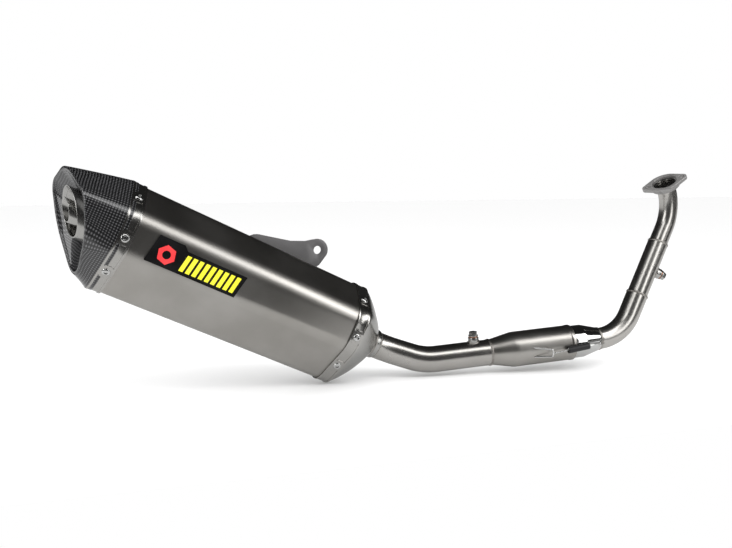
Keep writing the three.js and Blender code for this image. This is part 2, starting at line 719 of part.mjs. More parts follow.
// Perforated core and the glass wool packed around it.
function buildCore() {
  const pipe = turned([
    [CORE_OD / 2 - WALL, -40], [CORE_OD / 2, -40],
    [CORE_OD / 2, OUTLET_FROM - 3], [CORE_OD / 2 - WALL, OUTLET_FROM - 3],
  ], 16);
  const holes = [];
  for (let z = 20; z < OUTLET_FROM - 30; z += 50) {
    for (const turn of [0, Math.PI / 2]) {
      holes.push(new THREE.CylinderGeometry(4, 4, CORE_OD + 4, 6)
        .rotateZ(turn).translate(0, 0, z));
    }
  }
  return cut(pipe, ...holes);
}

addMesh(outlet, 'perforated_core', buildCore(), satinSteel);

const PACKING_FROM = -6;
const PACKING_TO = OUTLET_FROM - 4;

function buildPacking() {
  const hole = (z) => blendedRing(z, 0, 1, CORE_OD / 2 + 1, { x: 0, y: OUTLET_CENTRE_Y });
  return shell([
    hole(PACKING_FROM), hole(PACKING_TO),
    sectionRing(PACKING_TO, -SKIN - 1), sectionRing(PACKING_FROM, -SKIN - 1),
  ].reverse());
}

addMesh(muffler, 'packing', buildPacking(), glassWool);

// ---------------------------------------------------------------------------------------
// Noise damper: a reducer that slides into the outlet, held by one screw
// ---------------------------------------------------------------------------------------

const DAMPER_FROM = 285;
const GUIDE_FROM = 318;
const GUIDE_SUNK = 4;                 // how deep the guide ring sits inside the mouth
const WEB_FROM = 320;

function buildDamper() {
  const core = DAMPER_CORE_OD / 2;
  const guide = DAMPER_OD / 2;
  const webInner = core - WALL / 3;
  const webOuter = guide - WALL / 3;
  return join(
    slantedTube(GUIDE_FROM, guide, guide - WALL, GUIDE_SUNK),
    slantedTube(DAMPER_FROM, core, core - WALL, -DAMPER_CORE_PROUD),
    turned([
      [webInner, WEB_FROM], [webOuter, WEB_FROM],
      [webOuter, WEB_FROM + WALL], [webInner, WEB_FROM + WALL],
    ], 24));
}

addMesh(outlet, 'damper_insert', buildDamper(), satinSteel);

// ---------------------------------------------------------------------------------------
// Hanger bracket and badge
// ---------------------------------------------------------------------------------------

const BRACKET_X = -38;
const BRACKET_THICK = 3;
const BRACKET_HOLE = { z: 51, y: 93, diameter: 11, eye: 15 };

// Drawn in the plane of the muffler's axis (first coordinate) and height (second).
function bracketOutline() {
  const { z, y, eye } = BRACKET_HOLE;
  const shape = new THREE.Shape();
  shape.moveTo(160, 50);
  shape.lineTo(146, 72);
  shape.lineTo(136, 78.5);
  shape.lineTo(91, 89);
  shape.lineTo(z + 11, y + 11);
  shape.absarc(z, y, eye, Math.PI / 4, Math.PI * 1.02);
  shape.lineTo(z - 10, 72);
  shape.lineTo(z + 2, 62);
  shape.lineTo(z + 2, 50);
  shape.closePath();
  shape.holes.push(new THREE.Path().absarc(z, y, BRACKET_HOLE.diameter / 2, 0, 2 * Math.PI));
  return shape;
}

function buildBracket() {
  const plate = flatPlate(bracketOutline(), 0, BRACKET_THICK, 8)
    .rotateY(-Math.PI / 2).translate(BRACKET_X, 0, 0);
  const foot = new THREE.BoxGeometry(20, BRACKET_THICK, 112)
    .rotateZ(Math.atan2(40.5, HALF_WIDTH))
    .translate(BRACKET_X + 8, 57.2, 105);
  const inside = shell([
    sectionRing(-30, GAP), sectionRing(-30, -30), sectionRing(340, -30), sectionRing(340, GAP),
  ]);
  return cut(join(plate, foot), inside);
}

addMesh(muffler, 'hanger_bracket', buildBracket(), darkSteel);

// The badge plate lies on the near side face: taller under its emblem than under its bars.
const BADGE = { low: -8.5, high: 19.5, emblemHigh: 25, rear: 278, front: 163, step: 238 };
const BADGE_LEAN = 6;
const BADGE_THICK = 0.8;

function badgeOutline() {
  const { low, high, emblemHigh, rear, front, step } = BADGE;
  const shape = new THREE.Shape();
  shape.moveTo(rear, low);
  shape.lineTo(rear - BADGE_LEAN, emblemHigh);
  shape.lineTo(step + 3, emblemHigh);
  shape.lineTo(step - 3, high);
  shape.lineTo(front - BADGE_LEAN, high);
  shape.lineTo(front, low);
  shape.closePath();
  return shape;
}

// The side face leans in a little towards the bottom, and the badge with it.
const badgeLean = Math.atan2(0.03 * HALF_WIDTH, SECTION[1][1] - SECTION[2][1]);
const badgeHolder = new THREE.Group();
badgeHolder.position.set(0.97 * HALF_WIDTH + GAP, SECTION[2][1], 0);
badgeHolder.rotation.z = -badgeLean;
muffler.add(badgeHolder);
const badgeSheet = flatPlate(badgeOutline(), 0, BADGE_THICK)
  .rotateY(-Math.PI / 2).translate(BADGE_THICK, -SECTION[2][1], 0);
addMesh(badgeHolder, 'badge_plate', badgeSheet, badgeBlack);

export default root;
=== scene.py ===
# %% [markdown]
# # Racing exhaust system
# A full exhaust for a scooter: a two-bolt flange, a header bent from three tubes, a sprung slip
# joint, a link pipe, and a six-sided muffler with a carbon-fibre outlet cap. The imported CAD
# model is the frame. Each step below builds one group of fine pieces around it, in metres, and
# says why it is built that way.

# %% Load the frame
import json
from math import acos, atan2, cos, hypot, pi, radians, sin, sqrt, tan
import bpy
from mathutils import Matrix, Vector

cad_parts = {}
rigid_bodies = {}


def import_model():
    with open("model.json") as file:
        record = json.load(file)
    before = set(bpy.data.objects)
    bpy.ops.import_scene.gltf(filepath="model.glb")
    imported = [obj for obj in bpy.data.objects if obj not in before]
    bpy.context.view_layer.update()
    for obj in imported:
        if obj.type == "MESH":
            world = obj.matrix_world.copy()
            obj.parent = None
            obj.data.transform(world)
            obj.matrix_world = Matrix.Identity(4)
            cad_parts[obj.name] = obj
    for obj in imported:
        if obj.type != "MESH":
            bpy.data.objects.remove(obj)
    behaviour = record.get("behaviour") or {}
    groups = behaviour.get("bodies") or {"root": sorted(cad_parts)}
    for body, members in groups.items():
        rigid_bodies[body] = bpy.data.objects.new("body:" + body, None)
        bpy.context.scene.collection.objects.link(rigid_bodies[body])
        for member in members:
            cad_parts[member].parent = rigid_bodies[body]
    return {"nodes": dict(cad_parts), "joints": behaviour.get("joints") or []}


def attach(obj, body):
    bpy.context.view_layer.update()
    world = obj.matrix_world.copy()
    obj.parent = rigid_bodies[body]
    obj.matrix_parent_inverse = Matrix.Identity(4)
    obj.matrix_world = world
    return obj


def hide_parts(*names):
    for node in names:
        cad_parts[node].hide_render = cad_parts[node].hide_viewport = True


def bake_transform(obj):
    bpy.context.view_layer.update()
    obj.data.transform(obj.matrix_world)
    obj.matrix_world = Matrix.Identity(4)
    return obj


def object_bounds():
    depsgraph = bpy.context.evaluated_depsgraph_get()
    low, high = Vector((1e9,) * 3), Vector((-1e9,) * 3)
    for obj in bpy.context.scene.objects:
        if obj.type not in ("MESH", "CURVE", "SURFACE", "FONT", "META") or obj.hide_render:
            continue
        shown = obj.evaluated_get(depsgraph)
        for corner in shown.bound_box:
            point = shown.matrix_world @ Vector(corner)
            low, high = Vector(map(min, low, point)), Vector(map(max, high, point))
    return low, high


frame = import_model()
cad_box = [[float(value) for value in corner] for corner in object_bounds()]

import bmesh
import bpy
from mathutils import Matrix, Vector

MM = 0.001
UP = Vector((0, 0, 1))
axis_of = {joint["name"]: Vector(joint["axis"]).normalized() for joint in frame["joints"]}
port_axis = axis_of["flange_spin"]
slip_axis = axis_of["slip_slide"]
muffler_axis = axis_of["damper_slide"]

# %% [markdown]
# ## Three working frames
# A pipe bender measures along the pipe, so each half of the system gets its own frame whose Z
# runs along the gas flow: one at the port, one at the slip joint and one at the muffler. A
# 4x4 matrix carries a shape from such a frame to its place, so that every mesh can be drawn
# in round numbers.

# %% Working frames
def placed(origin, z_axis, y_hint=UP):
    """Matrix of a frame at origin whose Z is z_axis and whose Y leans to y_hint."""
    z = z_axis.normalized()
    x = y_hint.cross(z).normalized()
    y = z.cross(x)
    return Matrix.Translation(origin) @ Matrix((x, y, z)).transposed().to_4x4()


def mm(x, y, z):
    return Vector((x, y, z)) * MM


flange_line = Vector((0.785, -0.527, 0.326))
port_frame = placed(Vector(), port_axis, port_axis.cross(flange_line))
header_top_corner = mm(22, 8.6, -39)
header_low_corner = mm(-74, -13.6, -219.5)
link_corner = mm(-367, 13.4, -241)
slip_frame = placed(header_low_corner, slip_axis)
muffler_frame = placed(mm(-493.5, 18.3, -195.3), muffler_axis)


def in_muffler(x, y, z):
    return muffler_frame @ mm(x, y, z)


def along_slip(distance):
    return slip_frame @ mm(0, 0, distance)


# %% [markdown]
# ## Finishes
# The real parts are bare metal, so what tells them apart is how sharp their reflections are:
# a mirror on the can, springs and rivets, a satin on the titanium and the bands, a matt ripple
# on the welds. A tube that was drawn through a die is a little smoother than sheet. Each
# finish is one Principled shader with a little noise in its roughness and bump. The noise
# reads Object coordinates, which stay put because every piece sits at the origin.

# %% Shader helpers
def start_material(name, color, roughness, metallic):
    material = bpy.data.materials.new(name)
    material.use_nodes = True
    shader = material.node_tree.nodes["Principled BSDF"]
    shader.inputs["Base Color"].default_value = (*color, 1)
    shader.inputs["Roughness"].default_value = roughness
    shader.inputs["Metallic"].default_value = metallic
    return material, material.node_tree, shader


def add_node(tree, kind, **settings):
    node = tree.nodes.new(kind)
    for name, value in settings.items():
        setattr(node, name, value)
    return node


def object_noise(tree, scale, detail=4):
    """Noise in metres of Object space."""
    place = add_node(tree, "ShaderNodeTexCoord")
    noise = add_node(tree, "ShaderNodeTexNoise")
    noise.inputs["Scale"].default_value = scale
    noise.inputs["Detail"].default_value = detail
    tree.links.new(place.outputs["Object"], noise.inputs["Vector"])
    return noise.outputs["Fac"]


def spread(tree, value, low, high):
    """Stretches the middle of a 0..1 noise to low..high."""
    node = add_node(tree, "ShaderNodeMapRange")
    node.inputs["From Min"].default_value = 0.3
    node.inputs["From Max"].default_value = 0.7
    node.inputs["To Min"].default_value = low
    node.inputs["To Max"].default_value = high
    tree.links.new(value, node.inputs["Value"])
    return node.outputs["Result"]


def tone(tree, shader, value, dark, light):
    """Base colour that wanders between two tones."""
    ramp = add_node(tree, "ShaderNodeValToRGB")
    ramp.color_ramp.elements[0].position = 0.35
    ramp.color_ramp.elements[0].color = (*dark, 1)
    ramp.color_ramp.elements[1].position = 0.65
    ramp.color_ramp.elements[1].color = (*light, 1)
    tree.links.new(value, ramp.inputs["Fac"])
    tree.links.new(ramp.outputs["Color"], shader.inputs["Base Color"])


BUMP_DEPTH = 0.1 * MM


def add_bump(tree, shader, height, strength):
    bump = add_node(tree, "ShaderNodeBump")
    bump.inputs["Strength"].default_value = strength
    bump.inputs["Distance"].default_value = BUMP_DEPTH
    tree.links.new(height, bump.inputs["Height"])
    tree.links.new(bump.outputs["Normal"], shader.inputs["Normal"])


def metal(name, dark, light, rough, grain, grain_strength, cloud=14, metallic=1):
    """Bare metal: cloudy tone and roughness over a fine grain. rough is (low, high)."""
    material, tree, shader = start_material(name, light, rough[0], metallic)
    clouds = object_noise(tree, cloud)
    tone(tree, shader, clouds, dark, light)
    tree.links.new(spread(tree, clouds, *rough), shader.inputs["Roughness"])
    add_bump(tree, shader, object_noise(tree, grain, 2), grain_strength)
    return material


# %% Metals
titanium = metal(
    "satin_titanium", (0.40, 0.385, 0.36), (0.47, 0.455, 0.43), (0.30, 0.36), 2600, 0.10)
tube_titanium = metal(
    "drawn_titanium", (0.47, 0.455, 0.43), (0.54, 0.525, 0.50), (0.24, 0.29), 2600, 0.06)
satin_steel = metal(
    "satin_steel", (0.42, 0.415, 0.40), (0.48, 0.475, 0.46), (0.22, 0.28), 2400, 0.08)
polished_steel = metal(
    "polished_steel", (0.60, 0.60, 0.59), (0.66, 0.66, 0.65), (0.06, 0.10), 1500, 0.02)
band_steel = metal("band_steel", (0.44, 0.43, 0.41), (0.50, 0.49, 0.47), (0.22, 0.28), 2000, 0.05)
weld_metal = metal(
    "weld_bead", (0.30, 0.28, 0.26), (0.46, 0.44, 0.41), (0.28, 0.42), 1800, 0.35, cloud=120)
dark_steel = metal(
    "dark_steel", (0.14, 0.137, 0.138), (0.19, 0.185, 0.187), (0.34, 0.44), 2200, 0.2,
    metallic=0.6)
flange_steel = metal(
    "flange_steel", (0.26, 0.255, 0.25), (0.34, 0.335, 0.33), (0.28, 0.36), 2000, 0.15,
    cloud=40, metallic=0.55)
copper = metal(
    "soft_copper", (0.55, 0.27, 0.17), (0.66, 0.34, 0.22), (0.25, 0.4), 2000, 0.1, cloud=90)
print("metals:", len(bpy.data.materials))

# %% [markdown]
# ## Carbon fibre
# The cap is a plain weave under a thick clear coat. Two sets of tows cross at right angles,
# and each tow shines along its own length, so the cloth reads as a checker of light and dark
# squares. That shine is painted into the base colour: the squares where the warp lies on top
# are lighter, a painted sheen over the real weave. It is laid at 45 degrees, so the light
# squares line up in rows. The pattern follows the surface through a UV map measured in metres,
# and two sine waves round each tow so that the squares are cushions, not tiles.

# %% Carbon shader
WEAVE_PITCH = 0.0033


def wave_math(tree, operation, a, b=None):
    node = add_node(tree, "ShaderNodeMath", operation=operation)
    for socket, value in zip(node.inputs, (a, b)):
        if value is None:
            continue
        if isinstance(value, (int, float)):
            socket.default_value = value
        else:
            tree.links.new(value, socket)
    return node.outputs["Value"]


def make_carbon():
    material, tree, shader = start_material("clear_coated_carbon", (0.02, 0.02, 0.02), 0.36, 0.2)
    uv = add_node(tree, "ShaderNodeUVMap", uv_map="surface")
    split = add_node(tree, "ShaderNodeSeparateXYZ")
    tree.links.new(uv.outputs["UV"], split.inputs["Vector"])
    warp_at = wave_math(tree, "ADD", split.outputs["X"], split.outputs["Y"])
    weft_at = wave_math(tree, "SUBTRACT", split.outputs["X"], split.outputs["Y"])
    warp_wave = wave_math(tree, "SINE", wave_math(tree, "MULTIPLY", warp_at, pi / WEAVE_PITCH))
    weft_wave = wave_math(tree, "SINE", wave_math(tree, "MULTIPLY", weft_at, pi / WEAVE_PITCH))
    checker = wave_math(tree, "MULTIPLY", warp_wave, weft_wave)
    warp_sheen_mask = wave_math(tree, "MAXIMUM", checker, 0.0)
    # Painted sheen: where the warp lies on top the base colour turns lighter, standing in for the
    # tows' shine.
    mix = add_node(tree, "ShaderNodeMix", data_type="RGBA")
    mix.inputs["A"].default_value = (0.004, 0.004, 0.005, 1)
    mix.inputs["B"].default_value = (0.135, 0.135, 0.14, 1)
    tree.links.new(warp_sheen_mask, mix.inputs["Factor"])
    tree.links.new(mix.outputs["Result"], shader.inputs["Base Color"])
    add_bump(tree, shader, wave_math(tree, "ABSOLUTE", checker), 0.2)
    shader.inputs["Coat Weight"].default_value = 1
    shader.inputs["Coat Roughness"].default_value = 0.02
    shader.inputs["Coat IOR"].default_value = 1.55
    return material


carbon = make_carbon()
print("weave squares:", round(WEAVE_PITCH / MM, 1), "mm")

# %% [markdown]
# ## Rubber, print and wool
# The silicone covers are matt black with a faint bloom. The badge is printed foil: satin black
# under flat red and yellow. The glass wool is packed inside and never seen, but it still gets
# a fibrous finish for a cut-away view.

# %% Soft and printed finishes
def plastic(name, dark, light, rough, grain, strength):
    material, tree, shader = start_material(name, light, rough[0], 0)
    clouds = object_noise(tree, 60)
    tone(tree, shader, clouds, dark, light)
    tree.links.new(spread(tree, clouds, *rough), shader.inputs["Roughness"])
    add_bump(tree, shader, object_noise(tree, grain, 3), strength)
    return material


silicone = plastic(
    "black_silicone", (0.006, 0.006, 0.007), (0.012, 0.012, 0.013), (0.42, 0.6), 3000, 0.3)
badge_black = plastic(
    "badge_black", (0.004, 0.004, 0.004), (0.006, 0.006, 0.007), (0.28, 0.36), 4000, 0.05)
badge_red = plastic(
    "badge_red", (0.80, 0.030, 0.035), (0.86, 0.040, 0.045), (0.32, 0.42), 4000, 0.05)
badge_yellow = plastic(
    "badge_yellow", (0.86, 0.80, 0.02), (0.90, 0.86, 0.03), (0.32, 0.42), 4000, 0.05)
glass_wool = plastic(
    "glass_wool", (0.62, 0.58, 0.44), (0.80, 0.77, 0.66), (0.9, 1.0), 900, 1.0)
print("finishes:", len(bpy.data.materials))

# %% [markdown]
# ## Finishing a piece
# Every piece ends the same way: weld doubled points, point the faces outwards, make the mesh,
# give it its finish, mark the sharp edges by angle, hang it on the body it rides on, and hide
# the CAD nodes it stands for. A piece without a body stays loose.

# %% Finish helper
def finish_piece(name, bm, material, body, stands_for=(), sharp=35):
    bmesh.ops.remove_doubles(bm, verts=bm.verts[:], dist=2e-6)
    bmesh.ops.recalc_face_normals(bm, faces=bm.faces[:])
    mesh = bpy.data.meshes.new(name)
    bm.to_mesh(mesh)
    bm.free()
    piece = bpy.data.objects.new(name, mesh)
    bpy.context.collection.objects.link(piece)
    mesh.materials.append(material)
    mesh.shade_smooth()
    mesh.set_sharp_from_angle(angle=radians(sharp))
    if body:
        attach(piece, body)
    if stands_for:
        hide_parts(*stands_for)
    print("made", name, "with", len(mesh.polygons), "faces")
    return piece


def only(kind, geometry):
    return [item for item in geometry if isinstance(item, kind)]


def edges_of(verts):
    chosen = set(verts)
    return list({
        edge for vert in chosen for edge in vert.link_edges if edge.other_vert(vert) in chosen})


def verts_of(edges):
    return list({vert for edge in edges for vert in edge.verts})


# %% [markdown]
# ## Turned parts
# Rings, cans, beads and rivets all come off a lathe. The profile is drawn as one flat polygon
# in the XZ plane, its corners are rounded by a vertex bevel, and the spin operator turns it
# once round Z. A polygon that touches the axis makes a solid; one that doesn't makes a ring.

# %% Lathe
def turn(bm, profile, steps, fillet):
    """profile is a closed polygon of (radius, z) in mm."""
    verts = [bm.verts.new((r * MM, 0, z * MM)) for r, z in profile]
    face = bm.faces.new(verts)
    if fillet:
        corners = [vert for vert in verts if vert.co.x > 1e-7]
        bmesh.ops.bevel(
            bm, geom=corners, offset=fillet * MM, offset_type="OFFSET", segments=2,
            affect="VERTICES", profile=0.5, material=-1, clamp_overlap=True)
        face = max(bm.faces, key=lambda f: len(f.verts))
    ring = list(face.verts)
    edges = [e for e in face.edges if any(v.co.x > 1e-7 for v in e.verts)]
    bmesh.ops.delete(bm, geom=[face], context="FACES_ONLY")
    axis_edges = [e for v in ring for e in v.link_edges if e.is_wire and e not in edges]
    bmesh.ops.delete(bm, geom=list(set(axis_edges)), context="EDGES")
    bmesh.ops.spin(
        bm, geom=ring + edges, cent=(0, 0, 0), axis=(0, 0, 1), dvec=(0, 0, 0), angle=2 * pi,
        steps=steps, use_merge=True, use_duplicate=False)
    bmesh.ops.remove_doubles(bm, verts=bm.verts[:], dist=1e-7)


def turned_piece(profile, matrix, steps, fillet):
    bm = bmesh.new()
    turn(bm, profile, steps, fillet)
    bmesh.ops.transform(bm, matrix=matrix, verts=bm.verts[:])
    return bm


def join_meshes(target, parts):
    """Adds other meshes to target as separate bodies, and frees them."""
    for part in parts:
        mesh = bpy.data.meshes.new("part")
        part.to_mesh(mesh)
        part.free()
        target.from_mesh(mesh)
        bpy.data.meshes.remove(mesh)
    return target


# %% [markdown]
# ## Bent tubes
# A pipe bender pushes the tube straight, then swings it round a former. The same two moves
# make the mesh: extrude the ring of edges for a straight run, spin it about the bend's centre
# for an arc. The bore is a second, smaller skin, and bridging the end rings closes the wall.

# %% Pipe bender
def push(bm, edges, move):
    made = bmesh.ops.extrude_edge_only(bm, edges=edges)["geom"]
    verts = only(bmesh.types.BMVert, made)
    bmesh.ops.translate(bm, verts=verts, vec=move)
    return edges_of(verts)


def bend_skin(bm, points, radii, diameter, sides, arc_step):
    """One skin along straight runs and arcs. Returns its first and last rings of edges."""
    heading = (points[1] - points[0]).normalized()
    hint = Vector((0.1, 1, 0.35))
    ring = bmesh.ops.create_circle(
        bm, cap_ends=False, radius=diameter / 2, segments=sides,
        matrix=placed(points[0], heading, hint))["verts"]
    first = edges = edges_of(ring)
    here = points[0]
    for corner, beyond, radius in zip(points[1:-1], points[2:], radii):
        ahead = (beyond - corner).normalized()
        angle = heading.angle(ahead)
        cut = radius * tan(angle / 2)
        stop = corner - heading * cut
        edges = push(bm, edges, stop - here)
        inward = (ahead - heading * heading.dot(ahead)).normalized()
        swung = bmesh.ops.spin(
            bm, geom=edges + verts_of(edges), cent=stop + inward * radius,
            axis=heading.cross(ahead).normalized(), dvec=(0, 0, 0), angle=angle,
            steps=max(3, round(angle / arc_step)), use_merge=False, use_duplicate=False)
        edges = only(bmesh.types.BMEdge, swung["geom_last"])
        here, heading = corner + ahead * cut, ahead
    return first, push(bm, edges, points[-1] - here)


def bent_tube(points, radii, diameter, wall, sides=48, arc_step=radians(3)):
    bm = bmesh.new()
    outer = bend_skin(bm, points, radii, diameter, sides, arc_step)
    inner = bend_skin(bm, points, radii, diameter - 2 * wall, sides, arc_step)
    for outer_ring, inner_ring in zip(outer, inner):
        bmesh.ops.bridge_loops(bm, edges=outer_ring + inner_ring)
    return bm


def bent_rod(bm, points, radii, diameter, sides=14):
    for ring in bend_skin(bm, points, radii, diameter, sides, radians(12)):
        bmesh.ops.contextual_create(bm, geom=ring)


# %% [markdown]
# ## Header tubes
# The header is three lengths of titanium tube, each a size larger than the one before, so the
# gas slows in steps. Their walls are real, because the port end and the flange are open to
# look into.

# %% Header tubes
WALL = 1.5 * MM
UPPER_OD, MID_OD, LOWER_OD = 26 * MM, 28.5 * MM, 30.5 * MM
TOP_RADIUS, LOW_RADIUS = 58 * MM, 60 * MM
BEAD_HALF = 1.3 * MM
run = header_low_corner - header_top_corner
run_axis = run.normalized()
UPPER_WELD_AT, LOWER_WELD_AT = 57 * MM, 140 * MM
CONE_START = 36


def on_run(distance):
    return header_top_corner + run_axis * distance


upper = bent_tube(
    [port_axis * -4.8 * MM, header_top_corner, on_run(UPPER_WELD_AT - BEAD_HALF)],
    [TOP_RADIUS], UPPER_OD, WALL)
finish_piece("header_upper_pipe", upper, tube_titanium, "header", ["header_upper_tube"])
middle = bent_tube(
    [on_run(UPPER_WELD_AT + BEAD_HALF), on_run(LOWER_WELD_AT - BEAD_HALF)], [], MID_OD, WALL)
finish_piece("header_mid_pipe", middle, tube_titanium, "header", ["header_mid_tube"])
lower = bent_tube(
    [on_run(LOWER_WELD_AT + BEAD_HALF), header_low_corner, along_slip(CONE_START)],
    [LOW_RADIUS], LOWER_OD, WALL)
finish_piece("header_lower_pipe", lower, tube_titanium, "header", ["header_lower_tube"])
print("header run:", round(run.length / MM, 1), "mm")

# %% [markdown]
# ## Weld beads
# A TIG bead is a row of overlapping ripples. A turned ring with a round crown is the blank, and
# a sine wave round it, skewed across its width, pushes each ripple up. Where a boss stands on
# a round tube, the bead follows the saddle where the two meet.

# %% Weld beads
RIPPLE_HEIGHT = 0.14 * MM
RIPPLE_SKEW = 900


def ripple(bm, count, height):
    """Raises ripples on a ring turned about Z."""
    for vert in bm.verts:
        radius = hypot(vert.co.x, vert.co.y)
        if radius < 1e-6:
            continue
        angle = atan2(vert.co.y, vert.co.x)
        lift = height * sin(count * angle + RIPPLE_SKEW * vert.co.z)
        vert.co.x *= 1 + lift / radius
        vert.co.y *= 1 + lift / radius


def bead_profile(inner, outer, half_width, crown):
    """A barrel-shaped ring; its crown is a half ellipse."""
    arc = [
        (outer + crown * sin(pi * i / 8), -half_width * cos(pi * i / 8)) for i in range(9)]
    return [(inner, -half_width), *arc, (inner, half_width)]


def bead(
        name, origin, axis, inner, outer, body, stands_for=(), half_width=1.6, crown=0.75,
        count=46):
    bm = turned_piece(bead_profile(inner, outer, half_width, crown), Matrix(), 240, 0)
    ripple(bm, count, RIPPLE_HEIGHT)
    bmesh.ops.transform(bm, matrix=placed(origin, axis, Vector((0.1, 1, 0.3))), verts=bm.verts[:])
    finish_piece(name, bm, weld_metal, body, stands_for, 60)


bead(
    "upper_weld_bead", on_run(UPPER_WELD_AT), run_axis, 11.6, 13.9, "header",
    ["header_upper_weld"])
bead(
    "lower_weld_bead", on_run(LOWER_WELD_AT), run_axis, 12.9, 15.0, "header",
    ["header_lower_weld"])
bead("cone_weld_bead", along_slip(CONE_START), slip_axis, 14.0, 15.6, "header", half_width=1.9)

# %% [markdown]
# ## Port flange
# The flange is a separate plate that slides on the header and is pulled up by two nuts. Its
# recess holds the gasket; four kidney slots lighten the seat under the collar. The plate is
# drawn as edge loops and filled, then raised to its thickness, and only the sharp rim edges
# are bevelled, so the broken edge that a file leaves can catch the light.

# %% Plate helper
def arc_points(x, y, radius, start, stop, count):
    return [
        (x + radius * cos(start + (stop - start) * i / count),
         y + radius * sin(start + (stop - start) * i / count)) for i in range(count + 1)]


def circle_points(x, y, radius, count):
    return arc_points(x, y, radius, 0, 2 * pi * (count - 1) / count, count - 1)


def plate(bm, outline, holes, low, high, edge):
    """Flat plate between z low and high. outline and holes are lists of (x, y) points, in mm."""
    before = set(bm.verts)
    for loop in [outline, *holes]:
        verts = [bm.verts.new((x * MM, y * MM, low * MM)) for x, y in loop]
        for a, b in zip(verts, verts[1:] + verts[:1]):
            bm.edges.new((a, b))
    rim = edges_of([vert for vert in bm.verts if vert not in before])
    filled = bmesh.ops.triangle_fill(bm, use_beauty=True, use_dissolve=False, edges=rim)["geom"]
    faces = only(bmesh.types.BMFace, filled)
    raised = bmesh.ops.extrude_face_region(bm, geom=faces, use_keep_orig=True)["geom"]
    bmesh.ops.translate(bm, verts=only(bmesh.types.BMVert, raised), vec=(0, 0, (high - low) * MM))
    fresh = [vert for vert in bm.verts if vert not in before]
    bmesh.ops.recalc_face_normals(bm, faces=list({f for v in fresh for f in v.link_faces}))
    if edge:
        sharp = [e for e in edges_of(fresh) if len(e.link_faces) == 2 and e.calc_face_angle() > 1.0]
        bmesh.ops.bevel(
            bm, geom=sharp, offset=edge * MM, segments=2, affect="EDGES", profile=0.5, material=-1)


# %% Flange
BOLT_HALF_SPACING = 24
BOLT_HOLE_RADIUS = 4.2
EAR_RADIUS = 7.6
WAIST_RADIUS = 23
FLANGE_THICK = 5


def flange_outline():
    lean = acos((WAIST_RADIUS - EAR_RADIUS) / BOLT_HALF_SPACING)
    right = arc_points(BOLT_HALF_SPACING, 0, EAR_RADIUS, -lean, lean, 16)
    top = arc_points(0, 0, WAIST_RADIUS, lean, pi - lean, 30)
    left = arc_points(-BOLT_HALF_SPACING, 0, EAR_RADIUS, pi - lean, pi + lean, 16)
    bottom = arc_points(0, 0, WAIST_RADIUS, pi + lean, 2 * pi - lean, 30)
    return right + top + left + bottom


def kidney(angle, inner, outer, spread_angle):
    outside = arc_points(0, 0, outer, angle - spread_angle, angle + spread_angle, 10)
    return outside + arc_points(0, 0, inner, angle + spread_angle, angle - spread_angle, 10)


flange = bmesh.new()
bolt_holes = [
    circle_points(side * BOLT_HALF_SPACING, 0, BOLT_HOLE_RADIUS, 32) for side in (-1, 1)]
recess = circle_points(0, 0, 17.5, 80)
plate(flange, flange_outline(), [*bolt_holes, recess], -FLANGE_THICK, 0, 0.45)
seat_bore = circle_points(0, 0, 13.7, 64)
seat_rim = circle_points(0, 0, 20, 80)
slots = [kidney(pi * (0.25 + i / 2), 15.6, 17.2, 0.36) for i in range(4)]
plate(flange, seat_rim, [seat_bore, *slots], -9, -FLANGE_THICK + 0.15, 0.3)
bmesh.ops.transform(flange, matrix=port_frame, verts=flange.verts[:])
finish_piece("port_flange", flange, flange_steel, "flange", ["header_flange"])
collar = turned_piece([(11.5, -4.4), (15.2, -4.4), (15.2, -2.2), (11.5, -2.2)], port_frame, 96, 0.5)
finish_piece("port_collar", collar, satin_steel, "header", ["header_collar"])

# %% [markdown]
# ## Sensor bosses and plugs
# Two bosses would take an oxygen sensor; here both are closed with a plug on a copper washer.
# The boss is turned, its foot runs into the tube, and a rippled bead hides the joint.
# The plug's hexagon is a six-sided circle, extruded and bevelled.

# %% Sensor ports
def saddle_bead(name, boss_frame, tube_radius, boss_radius, body):
    """A bead round a boss: a turned ring lifted on to the tube's round back."""
    ring = [(boss_radius + 1.1 * cos(pi * i / 5), 1.1 * sin(pi * i / 5)) for i in range(10)]
    bm = turned_piece(ring, Matrix(), 120, 0)
    for vert in bm.verts:
        ripples = 0.12 * MM * sin(26 * atan2(vert.co.y, vert.co.x) + 700 * vert.co.z)
        across = min(abs(vert.co.x), tube_radius * MM * 0.98)
        vert.co.z += sqrt((tube_radius * MM) ** 2 - across ** 2) + ripples
    bmesh.ops.transform(bm, matrix=boss_frame, verts=bm.verts[:])
    finish_piece(name, bm, weld_metal, body, (), 60)


def hexagon_head(bm, matrix, low, high, radius):
    bottom = bmesh.ops.create_circle(
        bm, cap_ends=True, radius=radius * MM, segments=6, matrix=Matrix.Translation(mm(0, 0, low)))
    face = bottom["verts"][0].link_faces[0]
    made = bmesh.ops.extrude_face_region(bm, geom=[face], use_keep_orig=True)["geom"]
    verts = only(bmesh.types.BMVert, made)
    bmesh.ops.translate(bm, verts=verts, vec=mm(0, 0, high - low))
    chamfered = edges_of(verts)
    bmesh.ops.bevel(
        bm, geom=chamfered, offset=0.7 * MM, segments=2, affect="EDGES", profile=0.5, material=-1)
    bmesh.ops.transform(bm, matrix=matrix, verts=bm.verts[:])


